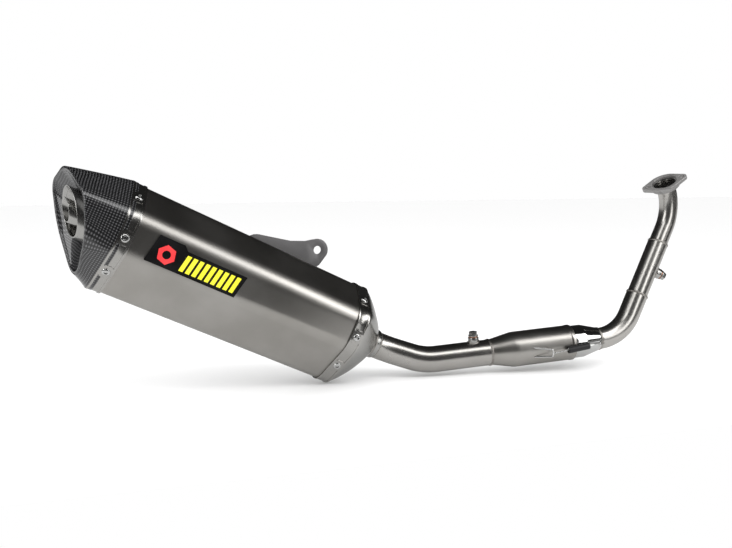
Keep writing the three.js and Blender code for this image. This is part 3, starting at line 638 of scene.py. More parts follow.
def sensor_port(prefix, centre, tube_axis, lean, tube_radius, body):
    direction = lean - tube_axis * lean.dot(tube_axis)
    boss_frame = placed(centre, direction, tube_axis)
    seat = tube_radius + 6
    boss = [(4.7, tube_radius - 0.9), (7.5, tube_radius - 2.6), (7.5, seat), (4.7, seat)]
    finish_piece(
        f"{prefix}_boss", turned_piece(boss, boss_frame, 64, 0.8), satin_steel,
        body, [f"{prefix}_sensor_boss"])
    saddle_bead(f"{prefix}_boss_bead", boss_frame, tube_radius, 7.5, body)
    washer = [(4.7, seat + 0.2), (6.3, seat + 0.2), (6.3, seat + 1.4), (4.7, seat + 1.4)]
    finish_piece(
        f"{prefix}_washer", turned_piece(washer, boss_frame, 64, 0.4), copper, body,
        [f"{prefix}_sensor_washer"])
    plug = bmesh.new()
    hexagon_head(plug, boss_frame, seat + 2.6, seat + 8.0, 6)
    shank = [(0, tube_radius + 1.5), (4.35, tube_radius + 1.5), (4.35, seat + 1.6),
             (6.9, seat + 1.6), (6.9, seat + 2.9), (0, seat + 2.9)]
    join_meshes(plug, [turned_piece(shank, boss_frame, 64, 0.3)])
    finish_piece(
        f"{prefix}_plug", plug, satin_steel, body, [f"{prefix}_sensor_plug"])


sensor_port("header", on_run(98 * MM), run_axis, Vector((0.85, -0.2, -0.43)), 14.25, "header")
sensor_port("link", along_slip(222), slip_axis, UP, 18.0, "muffler")

# %% [markdown]
# ## Slip joint
# The header ends in a spun cone and a mirror-polished can. The link pipe's sleeve slides over
# the can, with a rolled lip at its mouth and a taper down to the link pipe behind. All three
# are turned profiles on the slip axis. A gap of a few tenths between can and sleeve is real:
# the joint has to move as the pipe heats.

# %% Cone, can and sleeve
cone = [(13.75, 36.2), (15.9, 36.2), (16.9, 39.5), (22.0, 58.4), (23, 62.2), (23, 121.9),
        (21.5, 121.9), (21.5, 62.6), (20.5, 59), (15.4, 40), (13.75, 38.2)]
finish_piece(
    "collector", turned_piece(cone, slip_frame, 128, 1.0), polished_steel,
    "header", ["collector_cone", "collector_can"])
sleeve = [(23.35, 79), (25.1, 79), (25.1, 83.6), (24.5, 85.2), (24.5, 163), (24.1, 168),
          (18.3, 196), (18, 199), (16.5, 199), (22.6, 168), (23.35, 163), (23.35, 125)]
finish_piece(
    "sleeve", turned_piece(sleeve, slip_frame, 128, 0.6), titanium, "muffler",
    ["slip_sleeve"])
bead("sleeve_weld_bead", along_slip(200.6), slip_axis, 16.6, 18.1, "muffler", ["sleeve_weld"], 1.7)

# %% [markdown]
# ## Springs and hooks
# An extension spring on each side pulls the joint together. It is wound from wire: a small
# circle spun about the spring's axis while it also moves along it, which is the spin operator
# with a lift. Plain wire runs from the coils to a hook at each end. A black silicone tube
# covers the coils so that they don't rattle. Both the spring and its cover stretch when the
# joint slides, so they are hung on neither body.

# %% Spring parts
SPRING_FRONT, SPRING_REAR = (30, 0, 51), (31, -5, 117)
COIL_TURNS = 13


def wind_spring(length):
    """Coils, straight ends and end loops along Z, from 0 to length, in mm."""
    bm = bmesh.new()
    wire, coil_radius = 0.9, 2.5
    start, stop = 0.22 * length, 0.66 * length
    upright = Matrix.Translation(mm(coil_radius, 0, start)) @ Matrix.Rotation(pi / 2, 4, "X")
    circle = bmesh.ops.create_circle(
        bm, cap_ends=False, radius=wire * MM, segments=10, matrix=upright)["verts"]
    steps = COIL_TURNS * 16
    bmesh.ops.spin(
        bm, geom=circle + edges_of(circle), cent=(0, 0, 0), axis=(0, 0, 1),
        dvec=(0, 0, (stop - start) * MM / steps), angle=2 * pi * COIL_TURNS, steps=steps,
        use_merge=False, use_duplicate=False)
    for side, near_coil, tip in ((-1, start, 0), (1, stop, length)):
        inner = tip - side * 5.2
        loop = [mm(coil_radius, 0, near_coil), mm(0.2, 0, near_coil + side * 1.8),
                mm(0, 0, inner), mm(0, 2.9, tip - side * 2.4), mm(0, 0.6, tip + side * 0.9),
                mm(0, -2.6, tip - side * 1.6)]
        bent_rod(bm, loop, [0.6 * MM, 1.2 * MM, 1.3 * MM, 1.6 * MM], 2 * wire * MM, 10)
    return bm


def mirrored(point, side):
    return mm(point[0] * side, point[1], point[2])


def blend_piece(piece):
    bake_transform(piece)


def spring_set(name, side):
    front = slip_frame @ mirrored(SPRING_FRONT, side)
    rear = slip_frame @ mirrored(SPRING_REAR, side)
    spring_frame = placed(front, rear - front, Vector((0.2, 1, 0)))
    length = (rear - front).length / MM
    coils = wind_spring(length)
    bmesh.ops.transform(coils, matrix=spring_frame, verts=coils.verts[:])
    spring = finish_piece(
        f"{name}_spring", coils, polished_steel, None, [f"spring_{name}"], 60)
    blend_piece(spring)
    low, high = 0.2 * length, 0.68 * length
    profile = [(3.7, low), (4.5, low), (4.6, low + 1.5), (4.6, high - 1.5), (4.5, high),
               (3.7, high)]
    tube = turned_piece(profile, spring_frame, 40, 0.35)
    cover = finish_piece(
        f"{name}_spring_cover", tube, silicone, None, [f"spring_cover_{name}"])
    blend_piece(cover)
    hooks = {
        "header": [(15.2, 3, 34), (32.4, 2.2, 49), (32.4, -3.0, 49), (15.0, -4, 34)],
        "sleeve": [(24.4, 4.5, 143), (32, 0.4, 118.6), (31, -9.4, 118.6), (23.6, -8.5, 143)],
    }
    for end, path in hooks.items():
        wire = bmesh.new()
        points = [slip_frame @ mirrored(point, side) for point in path]
        bent_rod(wire, points, [2.4 * MM, 2.4 * MM], 2.6 * MM)
        body = "header" if end == "header" else "muffler"
        finish_piece(
            f"{end}_hook_{name}", wire, polished_steel, body,
            [f"{end}_spring_hook_{name}"], 60)


spring_set("near", 1)
spring_set("far", -1)

# %% [markdown]
# ## Link pipe and neck
# The link pipe is one tube with two bends that carries the gas out to the muffler's side. A
# ring where it enters the inlet cap takes the weld.

# %% Link pipe
LINK_OD, LINK_BEND = 36 * MM, 85 * MM
INLET_NECK = (3, 7, -57)
neck_bend = in_muffler(INLET_NECK[0], INLET_NECK[1], INLET_NECK[2] - 23)
link_end = in_muffler(INLET_NECK[0], INLET_NECK[1], INLET_NECK[2] + 12)
link = bent_tube(
    [along_slip(202), link_corner, neck_bend, link_end], [LINK_BEND, LINK_BEND], LINK_OD, WALL, 64)
finish_piece("link_tube", link, tube_titanium, "muffler", ["link_pipe"])
neck_frame = muffler_frame @ Matrix.Translation(mm(*INLET_NECK))
neck = [(18.2, -4.5), (19.2, -4.5), (19.9, -3.6), (19.9, 13.8), (18.2, 13.8)]
finish_piece(
    "neck_collar", turned_piece(neck, neck_frame, 96, 0.5), satin_steel, "muffler",
    ["neck_ring"])
bead(
    "neck_front_bead", neck_frame @ mm(0, 0, -4.8), muffler_axis, 18.0, 18.3, "muffler",
    half_width=1.4)
bead("neck_rear_bead", neck_frame @ mm(0, 0, 3.6), muffler_axis, 19.4, 20.4, "muffler")

# %% [markdown]
# ## The muffler's section
# Body, bands and caps share one outline: a tall hexagon with rounded corners. It is drawn as
# six corners and a face, and a vertex bevel rounds each corner to its own radius. Every skin
# starts from that ring of edges and is grown step by step along the muffler, with each point
# remembering where it started on the outline, so that a step can shrink, slant or round it.

# %% Section
HALF_WIDTH = 51.7
SECTION = [
    (0, 75.5, 21), (HALF_WIDTH, 35, 26), (0.97 * HALF_WIDTH, -10.5, 26), (0, -76, 21),
    (-0.97 * HALF_WIDTH, -10.5, 26), (-HALF_WIDTH, 35, 26)]
BODY_LENGTH = 315
BAND_WIDTH = 17


def section_ring(bm, offset=0.0, section=SECTION):
    """The outline as a ring of edges at z 0. Layer base keeps each point's x, y and run."""
    base = bm.verts.layers.float_vector.new("base")
    corners = [bm.verts.new(mm(x, y, 0)) for x, y, _ in section]
    bm.faces.new(corners)
    for corner, (_, _, radius) in zip(corners, section):
        sides = [edge.other_vert(corner).co - corner.co for edge in corner.link_edges]
        reach = radius * MM / tan(sides[0].angle(sides[1]) / 2)
        bmesh.ops.bevel(
            bm, geom=[corner], offset=reach, segments=9, affect="VERTICES", profile=0.5,
            material=-1)
    face = max(bm.faces, key=lambda f: len(f.verts))
    straight = [edge for edge in face.edges if edge.calc_length() > 12 * MM]
    bmesh.ops.subdivide_edges(bm, edges=straight, cuts=5)
    face = max(bm.faces, key=lambda f: len(f.verts))
    ordered = [loop.vert for loop in face.loops]
    top = max(range(len(ordered)), key=lambda i: ordered[i].co.y + 0.001 * ordered[i].co.x)
    ordered = ordered[top:] + ordered[:top]
    outward = []
    for before, vert, after in zip(
            ordered[-1:] + ordered[:-1], ordered, ordered[1:] + ordered[:1]):
        along = (after.co - before.co).normalized()
        normal = Vector((along.y, -along.x, 0))
        outward.append(normal if normal.dot(vert.co) > 0 else -normal)
    for vert, normal in zip(ordered, outward):
        vert.co += normal * offset * MM
    run_length = 0.0
    for vert, after in zip(ordered, ordered[1:] + ordered[:1]):
        vert[base] = Vector((vert.co.x / MM, vert.co.y / MM, run_length))
        run_length += (after.co - vert.co).length / MM
    edges = list(face.edges)
    bmesh.ops.delete(bm, geom=[face], context="FACES_ONLY")
    return edges, base, run_length


def outline_points(offset, section=SECTION):
    """The same outline as an ordered list of (x, y, run)."""
    bm = bmesh.new()
    edges, layer, _ = section_ring(bm, offset, section)
    points = sorted((tuple(vert[layer]) for vert in verts_of(edges)), key=lambda point: point[2])
    bm.free()
    return points


def grow(bm, edges, place, layer):
    """Extrudes a ring of edges and puts each new point where place(x, y, run) says, in mm."""
    made = bmesh.ops.extrude_edge_only(bm, edges=edges)["geom"]
    verts = only(bmesh.types.BMVert, made)
    for vert in verts:
        vert.co = mm(*place(*vert[layer]))
    return edges_of(verts)


def loft(offset, places):
    """Grows a section ring through a list of place functions. Returns the mesh and its layer."""
    bm = bmesh.new()
    edges, layer, perimeter = section_ring(bm, offset)
    for vert in verts_of(edges):
        vert.co = mm(*places[0](*vert[layer]))
    for place in places[1:]:
        edges = grow(bm, edges, place, layer)
    return bm, layer, perimeter


def straight_at(z):
    return lambda x, y, run: (x, y, z)


def apply_modifiers(piece):
    graph = bpy.context.evaluated_depsgraph_get()
    finished = bpy.data.meshes.new_from_object(piece.evaluated_get(graph))
    piece.modifiers.clear()
    piece.data = finished


def thicken(piece, thickness, offset, sharp=40):
    """Gives a skin its wall; offset -1 is inwards and 1 is outwards."""
    wall = piece.modifiers.new("wall", "SOLIDIFY")
    wall.thickness = thickness
    wall.offset = offset
    wall.use_even_offset = True
    apply_modifiers(piece)
    piece.data.shade_smooth()
    piece.data.set_sharp_from_angle(angle=radians(sharp))


# %% Outer sleeve
skin, _, _ = loft(0, [straight_at(z) for z in (-10, 60, 150, 240, 308)])
bmesh.ops.transform(skin, matrix=muffler_frame, verts=skin.verts[:])
body_sleeve = finish_piece(
    "muffler_sleeve", skin, titanium, "muffler", ["outer_sleeve"], 50)
thicken(body_sleeve, 1.2 * MM, -1)
print("muffler body:", BODY_LENGTH, "mm long")

# %% [markdown]
# ## Inlet cap
# The front cap is a pressed dome that turns the hexagon into the round neck. Each step of the
# loft mixes the outline a little further towards the neck's circle: the sides run nearly
# straight for most of the way and round over quickly into the neck.

# %% Inlet cap
NECK_RADIUS = 21.2


def dome_at(depth):
    mix = 0.78 * depth ** 1.2 + 0.22 * depth ** 8
    front, stop = -BAND_WIDTH - 1, INLET_NECK[2] + 5

    def place(x, y, run):
        angle = atan2(y, x)
        round_x = INLET_NECK[0] + NECK_RADIUS * cos(angle)
        round_y = INLET_NECK[1] + NECK_RADIUS * sin(angle)
        return (x + (round_x - x) * mix, y + (round_y - y) * mix, front + (stop - front) * depth)

    return place


DOME_STEPS = 22
dome_depths = [i / DOME_STEPS for i in range(DOME_STEPS + 1)]
cap, _, _ = loft(0, [straight_at(-10.3), *(dome_at(depth) for depth in dome_depths)])
bmesh.ops.transform(cap, matrix=muffler_frame, verts=cap.verts[:])
inlet_dome = finish_piece(
    "inlet_dome", cap, satin_steel, "muffler", ["inlet_cap"], 50)
thicken(inlet_dome, 1.4 * MM, -1)

# %% [markdown]
# ## Bands and rivets
# A band clamps each end of the sleeve. It is a strip round the section with long windows milled
# between the rivets, so each rivet sits on a raised pad with chamfered ends. The windows are
# first made as one hoop, the pads are cut out of that hoop, and the rest is cut out of the
# band: two booleans, because a window runs round the section's corners, where an inset can't
# follow. A pop rivet is a turned head with the broken stem in its middle.

# %% Rivet places
RIVET_ANGLES = [61, 6, -50, -130, 174, 119]
BAND_IN, BAND_OUT = 0.35, 1.85


def on_section(angle_degrees, offset):
    """Point and outward normal where a ray from the middle meets the outline."""
    ray = Vector((cos(radians(angle_degrees)), sin(radians(angle_degrees))))
    points = [Vector(point[:2]) for point in outline_points(offset)]
    for a, b in zip(points, points[1:] + points[:1]):
        edge = b - a
        across = ray.x * edge.y - ray.y * edge.x
        if abs(across) < 1e-9:
            continue
        reach = (a.x * edge.y - a.y * edge.x) / across
        part = (a.x * ray.y - a.y * ray.x) / across
        if reach > 0 and 0 <= part < 1:
            normal = Vector((edge.y, -edge.x)).normalized()
            return ray * reach, normal if normal.dot(ray) > 0 else -normal
    raise ValueError(f"no outline at {angle_degrees} degrees")


def rivet_frame(angle, z):
    point, normal = on_section(angle, BAND_OUT)
    return placed(mm(point.x, point.y, z), Vector((normal.x, normal.y, 0)), UP)


# %% Band with windows
RAIL, WINDOW_FLOOR = 2.6, 1.1
PAD_HALF_LENGTH, PAD_HALF_WIDTH, PAD_CHAMFER = 9.0, 8.0, 4.0


def pad_block(bm, matrix):
    """A block with chamfered corners: the part of the band that stays full height."""
    a, b, c = PAD_HALF_LENGTH, PAD_HALF_WIDTH, PAD_CHAMFER
    outline = [
        (a, b - c), (a - c, b), (c - a, b), (-a, b - c), (-a, c - b), (c - a, -b), (a - c, -b),
        (a, c - b)]
    block = bmesh.new()
    plate(block, outline, [], -4, 6, 0)
    bmesh.ops.transform(block, matrix=matrix, verts=block.verts[:])
    join_meshes(bm, [block])


def solid_from(name, bm):
    mesh = bpy.data.meshes.new(name)
    bmesh.ops.recalc_face_normals(bm, faces=bm.faces[:])
    bm.to_mesh(mesh)
    bm.free()
    piece = bpy.data.objects.new(name, mesh)
    bpy.context.collection.objects.link(piece)
    return piece


def section_hoop(name, low, high, inner, outer):
    """A solid strip round the section, from z low to high."""
    strip, _, _ = loft(inner, [straight_at(z) for z in (low, high)])
    hoop = solid_from(name, strip)
    thicken(hoop, (outer - inner) * MM, 1)
    return hoop


def subtract(piece, tool):
    cut = piece.modifiers.new("cut", "BOOLEAN")
    cut.object = tool
    cut.operation = "DIFFERENCE"
    cut.solver = "EXACT"
    apply_modifiers(piece)
    bpy.data.objects.remove(tool)


def band(name, low, high, node):
    hoop = section_hoop(f"{name}_blank", low, high, BAND_IN, BAND_OUT)
    windows = section_hoop(f"{name}_windows", low + RAIL, high - RAIL, WINDOW_FLOOR, BAND_OUT + 2)
    pads = bmesh.new()
    for angle in RIVET_ANGLES:
        pad_block(pads, rivet_frame(angle, (low + high) / 2))
    subtract(windows, solid_from(f"{name}_pads", pads))
    subtract(hoop, windows)
    bm = bmesh.new()
    bm.from_mesh(hoop.data)
    bpy.data.objects.remove(hoop)
    bmesh.ops.remove_doubles(bm, verts=bm.verts[:], dist=2e-5)
    sharp = [
        edge for edge in bm.edges if len(edge.link_faces) == 2 and edge.calc_face_angle() > 0.9]
    bmesh.ops.bevel(
        bm, geom=sharp, offset=0.2 * MM, segments=2, affect="EDGES", profile=0.5, material=-1,
        clamp_overlap=True)
    bmesh.ops.transform(bm, matrix=muffler_frame, verts=bm.verts[:])
    finish_piece(name, bm, band_steel, "muffler", [node], 30)


band("inlet_clamp_band", -BAND_WIDTH, 0, "inlet_band")
band("outlet_clamp_band", BODY_LENGTH - BAND_WIDTH, BODY_LENGTH, "outlet_band")

# %% Pop rivets
RIVET_PROFILE = [
    (0, -1.4), (2.3, -1.4), (2.3, 0.1), (5.0, 0.1), (5.1, 0.55), (4.6, 1.3), (3.7, 1.9), (2.8, 2.2),
    (2.15, 2.1), (2.0, 0.5), (1.4, 0.4), (1.3, 1.0), (0, 1.1)]


def rivets(prefix, z):
    for index, angle in enumerate(RIVET_ANGLES, 1):
        place = muffler_frame @ rivet_frame(angle, z)
        finish_piece(
            f"{prefix}_pop_rivet_{index}", turned_piece(RIVET_PROFILE, place, 40, 0.15),
            polished_steel, "muffler", [f"{prefix}_rivet_{index}"])


rivets("inlet", -BAND_WIDTH / 2)
rivets("outlet", BODY_LENGTH - BAND_WIDTH / 2)

# %% [markdown]
# ## Outlet cap
# The carbon cap leaves the band flush, tapers to a slanted rim, rolls over it, and dishes in
# to the outlet tube. It is one loft: along the outside the outline shrinks while its plane
# tips over, round the rim it follows a quarter circle, and inside it turns into the tube's
# circle. Each step adds its own length to the UV map, so the weave keeps its size all the way.

# %% Outlet cap
RIM_SECTION = [
    (0, 59, 34), (46, 33, 18), (41, -10, 60), (0, -68, 20), (-41, -10, 60), (-46, 33, 18)]
CAP_PROUD = 1.6
CAP_START = BODY_LENGTH + 0.35
FACE_DEPTH = 15
OUTLET_Y, OUTLET_R = 9, 26.5
rim_points = {
    round(point[2], 2): Vector(rim[:2])
    for point, rim in zip(outline_points(CAP_PROUD), outline_points(0.6, RIM_SECTION))}


def rim_plane(x, y):
    return 363 + 0.52 * (y - 3.3) - 0.293 * x


def outside_at(mix):
    """The outside of the cap: mix 0 is the band and 1 the rim."""
    def place(x, y, run):
        point = Vector((x, y)).lerp(rim_points[round(run, 2)], mix)
        return (*point, CAP_START + (rim_plane(*point) - CAP_START) * mix)

    return place


def rim_at(turn_angle, roll=2.2):
    """Rolls over the rim: turn_angle 0 is the outside and pi the inside."""
    def place(x, y, run):
        rim = rim_points[round(run, 2)]
        point = rim - rim.normalized() * roll * (1 - cos(turn_angle))
        return (*point, rim_plane(*point) + roll * (sin(turn_angle) - 1) * 0.9)

    return place


def dish_at(mix):
    """From inside the rim to the tube: mix 0 is the rim and 1 the tube."""
    def place(x, y, run):
        inner = Vector(rim_at(pi)(x, y, run)[:2])
        angle = atan2(inner.y - OUTLET_Y, inner.x)
        tube = Vector((0, OUTLET_Y)) + Vector((cos(angle), sin(angle))) * (OUTLET_R + 0.3)
        point = inner.lerp(tube, mix)
        return (*point, rim_plane(*point) - 2 - FACE_DEPTH * mix ** 0.85)

    return place


def map_surface(bm, layer, perimeter):
    """UV in metres: run round the outline, and distance travelled along the loft."""
    uv = bm.loops.layers.uv.new("surface")
    travelled = bm.verts.layers.float.new("travelled")
    bm.verts.ensure_lookup_table()
    by_run = {}
    for vert in bm.verts:
        by_run.setdefault(round(vert[layer].z, 3), []).append(vert)
    for column in by_run.values():
        column.sort(key=lambda vert: vert.index)
        total = 0.0
        for previous, vert in zip([None, *column], column):
            if previous:
                total += (vert.co - previous.co).length
            vert[travelled] = total
    for face in bm.faces:
        runs = [loop.vert[layer].z for loop in face.loops]
        wraps = max(runs) - min(runs) > perimeter / 2
        for loop, run_at in zip(face.loops, runs):
            if wraps and run_at < perimeter / 2:
                run_at += perimeter
            loop[uv].uv = (run_at * MM, loop.vert[travelled])


OUTSIDE_STEPS, ROLL_STEPS, DISH_STEPS = 26, 8, 12
cap_places = [straight_at(308.4), straight_at(BODY_LENGTH + 0.2)]
cap_places += [outside_at(0.004 + 0.98 * i / OUTSIDE_STEPS) for i in range(OUTSIDE_STEPS + 1)]
cap_places += [rim_at(pi * i / ROLL_STEPS) for i in range(1, ROLL_STEPS + 1)]
cap_places += [dish_at(i / DISH_STEPS) for i in range(1, DISH_STEPS + 1)]
end_cap, base_layer, perimeter = loft(CAP_PROUD, cap_places)
end_cap.verts.index_update()
map_surface(end_cap, base_layer, perimeter)
bmesh.ops.transform(end_cap, matrix=muffler_frame, verts=end_cap.verts[:])
carbon_cap = finish_piece(
    "carbon_end_cap", end_cap, carbon, "muffler", ["outlet_cap"], 60)
thicken(carbon_cap, 1.4 * MM, -1)

# %% [markdown]
# ## Outlet tube and noise damper
# A satin tube stands in the dished face with its mouth cut at a slant. Inside it slides the
# noise damper: a ring, a plate with four windows and a small centre tube that the gas has to
# squeeze through. The slant is made by lifting the mouth's points on to the cutting plane.

# %% Outlet tube and damper
def mouth_plane(x, y):
    return 365 + 0.54 * y - 0.19 * x


def slanted_tube(outer, inner, low, proud, steps=96, fillet=0.35):
    """A turned tube whose top is sheared on to the mouth's plane, plus proud."""
    top = 40.0
    profile = [(inner, 0), (outer, 0), (outer, top), (inner, top)]
    bm = turned_piece(profile, Matrix(), steps, fillet)
    for vert in bm.verts:
        part = vert.co.z / (top * MM)
        slant = mouth_plane(vert.co.x / MM, vert.co.y / MM) + proud
        vert.co.z = (low + (slant - low) * part) * MM
    return bm


outlet_frame = muffler_frame @ Matrix.Translation(mm(0, OUTLET_Y, 0))
outlet_pipe = slanted_tube(OUTLET_R, 25.1, 262, 0)
bmesh.ops.transform(outlet_pipe, matrix=outlet_frame, verts=outlet_pipe.verts[:])
finish_piece("outlet_pipe", outlet_pipe, satin_steel, "muffler", ["outlet_tube"])
GUIDE_R, CORE_R, WEB_Z = 24.4, 13, 320
window_plate = bmesh.new()
windows = [kidney(pi * (0.25 + i / 2), 15.5, 21.5, 0.55) for i in range(4)]
web_rim = circle_points(0, 0, GUIDE_R - 0.6, 64)
web_bore = circle_points(0, 0, CORE_R - 0.8, 48)
plate(window_plate, web_rim, [web_bore, *windows], WEB_Z, WEB_Z + 1.6, 0.25)
damper = join_meshes(
    slanted_tube(GUIDE_R, GUIDE_R - 1.4, 318, -4),
    [slanted_tube(CORE_R, CORE_R - 1.4, 285, 5), window_plate])
bmesh.ops.transform(damper, matrix=outlet_frame, verts=damper.verts[:])
finish_piece("noise_damper", damper, satin_steel, "damper", ["damper_insert"])

# %% [markdown]
# ## Hanger bracket
# The bracket is cut from 3 mm plate and stands on the far side of the muffler. Its eye takes
# the hanger bolt. The foot that holds it to the muffler is hidden, so it isn't drawn here.

# %% Bracket
BRACKET_X = -38
EYE_Z, EYE_Y = 51, 93
EYE_RADIUS, EYE_HOLE = 15, 5.5


def bracket_outline():
    lead = [(160, 47), (152, 62), (146, 72), (141, 76.4), (136, 78.8), (91, 89), (72, 97),
            (62, 104)]
    eye = arc_points(EYE_Z, EYE_Y, EYE_RADIUS, pi / 4, pi * 1.02, 28)
    return lead + eye + [(40, 76), (46, 67), (52, 61), (53, 47)]


bracket = bmesh.new()
plate(bracket, bracket_outline(), [circle_points(EYE_Z, EYE_Y, EYE_HOLE, 40)], 0, 3, 0.5)
to_side = Matrix.Translation(mm(BRACKET_X, 0, 0)) @ Matrix.Rotation(-pi / 2, 4, "Y")
bmesh.ops.transform(bracket, matrix=muffler_frame @ to_side, verts=bracket.verts[:])
finish_piece("hanger_plate", bracket, dark_steel, "muffler", ["hanger_bracket"])

# %% [markdown]
# ## Badge
# A thin black plate lies on the near side. Its print is generic: a red hexagon with a hole,
# like a nut, and a row of slanted yellow bars. Each is raised a hair so that it has an edge.

# %% Badge
BADGE_LOW, BADGE_HIGH, BADGE_TALL = -8.5, 19.5, 25
BADGE_REAR, BADGE_FRONT, BADGE_STEP, BADGE_LEAN = 278, 163, 238, 6
badge_tilt = atan2(0.03 * HALF_WIDTH, 45.5)
badge_frame = (
    muffler_frame @ Matrix.Translation(mm(0.97 * HALF_WIDTH + 0.35, -10.5, 0))
    @ Matrix.Rotation(-badge_tilt, 4, "Z") @ Matrix.Rotation(-pi / 2, 4, "Y")
    @ Matrix.Translation(mm(0, 10.5, 0)))


def printed(outlines, low, high):
    bm = bmesh.new()
    for outline in outlines:
        plate(bm, outline, [], low, high, 0)
    bmesh.ops.transform(bm, matrix=badge_frame, verts=bm.verts[:])
    return bm


badge_outline = [
    (BADGE_REAR, BADGE_LOW), (BADGE_REAR - BADGE_LEAN, BADGE_TALL), (BADGE_STEP + 3, BADGE_TALL),
    (BADGE_STEP - 3, BADGE_HIGH), (BADGE_FRONT - BADGE_LEAN, BADGE_HIGH), (BADGE_FRONT, BADGE_LOW)]
finish_piece(
    "badge_foil", printed([badge_outline], -0.8, 0), badge_black, "muffler",
    ["badge_plate"])


def slanted_bar(front, width, low, high):
    """A bar that leans like the badge's ends; front is its lower front corner."""
    lean = (high - low) * BADGE_LEAN / (BADGE_TALL - BADGE_LOW)
    return [(front, low), (front + width, low), (front + width - lean, high), (front - lean, high)]


NUT_Z, NUT_Y, NUT_R = 256.5, 6.5, 11.5
MARK_LAYER = (-0.94, -0.82)
nut = bmesh.new()
nut_outline = [
    (NUT_Z + NUT_R * cos(pi * i / 3 + 0.3), NUT_Y + NUT_R * sin(pi * i / 3 + 0.3))
    for i in range(6)]
plate(nut, nut_outline, [circle_points(NUT_Z, NUT_Y, 5, 32)], *MARK_LAYER, 0)
bmesh.ops.transform(nut, matrix=badge_frame, verts=nut.verts[:])
finish_piece("badge_nut_mark", nut, badge_red, "muffler")
bars = [slanted_bar(167 + 8.1 * i, 5.2, -4.5, 15.5) for i in range(9)]
finish_piece("badge_bars", printed(bars, *MARK_LAYER), badge_yellow, "muffler")

# %% [markdown]
# ## Inside the muffler
# The perforated core and the glass wool stay as the frame has them. They only need a finish.

# %% Hidden nodes
for node, material in (("perforated_core", satin_steel), ("packing", glass_wool)):
    mesh = frame["nodes"][node].data
    mesh.materials.clear()
    mesh.materials.append(material)

# %% [markdown]
# ## Studio
# The exhaust stands over a white sweep. The camera sees the floor's own white, and the other
# rays see a greyer floor, so that the undersides and the carbon stay darker than the page. The
# floor stops a little in front of the exhaust, which is white there anyway, so that the near
# side of the muffler mirrors the dark room and not the floor.

# %% Floor and world
FLOOR_FRONT, FLOOR_BACK = -0.30, 6.0
floor_z = cad_box[0][2] - 0.003
floor_mesh = bmesh.new()
bmesh.ops.create_grid(floor_mesh, x_segments=1, y_segments=1, size=1)
bmesh.ops.scale(floor_mesh, vec=(7, (FLOOR_BACK - FLOOR_FRONT) / 2, 1), verts=floor_mesh.verts[:])
bmesh.ops.translate(
    floor_mesh, vec=(-0.4, (FLOOR_BACK + FLOOR_FRONT) / 2, floor_z), verts=floor_mesh.verts[:])
floor = solid_from("studio_floor", floor_mesh)
floor_material, floor_tree, floor_shader = start_material("pale_floor", (0.88, 0.88, 0.88), 0.9, 0)
greyer_floor = add_node(floor_tree, "ShaderNodeBsdfDiffuse")
greyer_floor.inputs["Color"].default_value = (0.54, 0.54, 0.54, 1)
floor_ray = add_node(floor_tree, "ShaderNodeLightPath")
floor_choice = add_node(floor_tree, "ShaderNodeMixShader")
floor_tree.links.new(floor_ray.outputs["Is Camera Ray"], floor_choice.inputs["Fac"])
floor_tree.links.new(greyer_floor.outputs["BSDF"], floor_choice.inputs[1])
floor_tree.links.new(floor_shader.outputs["BSDF"], floor_choice.inputs[2])
floor_tree.links.new(
    floor_choice.outputs["Shader"], floor_tree.nodes["Material Output"].inputs["Surface"])
floor.data.materials.append(floor_material)

# %% [markdown]
# Each kind of ray sees its own room. The camera sees white, so the exhaust stands on a clean
# page. Diffuse rays see an even white dome, which lights the floor and leaves a soft contact
# shadow. Mirror rays see a dark room that is lighter straight below, because polished metal
# in a white room has no shape.

# %% World
world = bpy.data.worlds.new("studio")
bpy.context.scene.world = world
world.use_nodes = True
tree = world.node_tree
ray_kind = add_node(tree, "ShaderNodeLightPath")


def world_shade(color, strength):
    node = add_node(tree, "ShaderNodeBackground")
    node.inputs["Strength"].default_value = strength
    if isinstance(color, tuple):
        node.inputs["Color"].default_value = (*color, 1)
    else:
        tree.links.new(color, node.inputs["Color"])
    return node.outputs["Background"]


def choose(factor, first, second):
    node = add_node(tree, "ShaderNodeMixShader")
    tree.links.new(factor, node.inputs["Fac"])
    tree.links.new(first, node.inputs[1])
    tree.links.new(second, node.inputs[2])
    return node.outputs["Shader"]


direction = add_node(tree, "ShaderNodeTexCoord")
split_direction = add_node(tree, "ShaderNodeSeparateXYZ")
tree.links.new(direction.outputs["Generated"], split_direction.inputs["Vector"])
height = wave_math(tree, "MULTIPLY_ADD", split_direction.outputs["Z"], 0.5)
height.node.inputs[2].default_value = 0.5
room = add_node(tree, "ShaderNodeValToRGB")
room.color_ramp.elements[0].position = 0.0
room.color_ramp.elements[0].color = (0.30, 0.30, 0.30, 1)
room.color_ramp.elements[1].position = 1.0
room.color_ramp.elements[1].color = (0.015, 0.015, 0.015, 1)
for position, level in ((0.40, 0.05), (0.52, 0.035), (0.64, 0.03), (0.74, 0.018)):
    step = room.color_ramp.elements.new(position)
    step.color = (level, level, level, 1)
tree.links.new(height, room.inputs["Fac"])
mirror_room = world_shade(room.outputs["Color"], 1.0)
diffuse_room = choose(
    ray_kind.outputs["Is Diffuse Ray"], mirror_room, world_shade((1, 1, 1), 1.22))
whole_room = choose(
    ray_kind.outputs["Is Camera Ray"], diffuse_room, world_shade((1, 1, 1), 1.0))
tree.links.new(whole_room, tree.nodes["World Output"].inputs["Surface"])
tree.nodes.remove(tree.nodes["Background"])


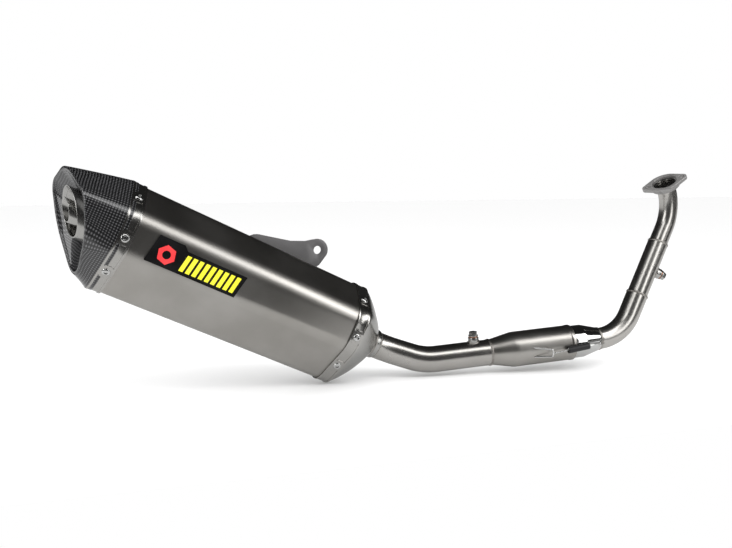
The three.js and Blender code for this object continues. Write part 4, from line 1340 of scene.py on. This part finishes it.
# %% [markdown]
# The lights are soft panels on the near side. The longest lies along the muffler's slope, up
# and to the right, so its reflection runs the full length of the upper corner. Two smaller
# ones draw the two bright lines down the header, and a tall one on the left lights the
# outlet's dish.

# %% Lights and camera
def panel(name, centre, target, along, size, power):
    """A soft rectangle that faces target; its long side runs as near to along as it can."""
    light = bpy.data.lights.new(name, "AREA")
    light.shape = "RECTANGLE"
    light.size, light.size_y = size
    light.energy = power
    lamp = bpy.data.objects.new(name, light)
    bpy.context.collection.objects.link(lamp)
    away = (Vector(centre) - Vector(target)).normalized()
    lamp.matrix_world = placed(Vector(centre), away, away.cross(Vector(along)))
    return lamp


middle = Vector((-0.6, -0.02, -0.08))
panel("corner_strip", (0.30, -0.86, 0.80), middle, (0.62, 0.1, -0.56), (1.9, 0.5), 8.5)
header = Vector((-0.03, 0, -0.08))
panel("header_strip", (0.09, -0.48, 0.10), header, (0, 0, 1), (0.6, 0.16), 0.8)
panel("header_kicker", (-0.90, -0.70, 0.95), header, (0, 0.3, 1), (0.7, 0.45), 2.2)
panel("left_softbox", (-1.9, -0.6, 0.55), (-0.6, 0, -0.05), (0, 0, 1), (1.4, 0.6), 8)

AZIMUTH, ELEVATION = radians(-18), radians(7)
CAMERA_AT = (-0.7976, -1.0578, 0.0193)
back = Vector((sin(AZIMUTH) * cos(ELEVATION), -cos(AZIMUTH) * cos(ELEVATION), sin(ELEVATION)))
right = Vector((cos(AZIMUTH), sin(AZIMUTH), 0))
lens = bpy.data.cameras.new("camera")
lens.sensor_width = 36
lens.lens = 42.3
lens.clip_start = 0.01
camera = bpy.data.objects.new("camera", lens)
bpy.context.collection.objects.link(camera)
camera.matrix_world = (
    Matrix.Translation(CAMERA_AT)
    @ Matrix((right, back.cross(right), back)).transposed().to_4x4())
bpy.context.scene.camera = camera
bpy.context.scene.view_settings.view_transform = "Standard"
print("camera at", CAMERA_AT)

# %% [markdown]
# The CAD model's box is printed last. The fine pieces must stay in the CAD model's box. The
# last call checks that every piece rides on a body.

print("cad box:", cad_box)
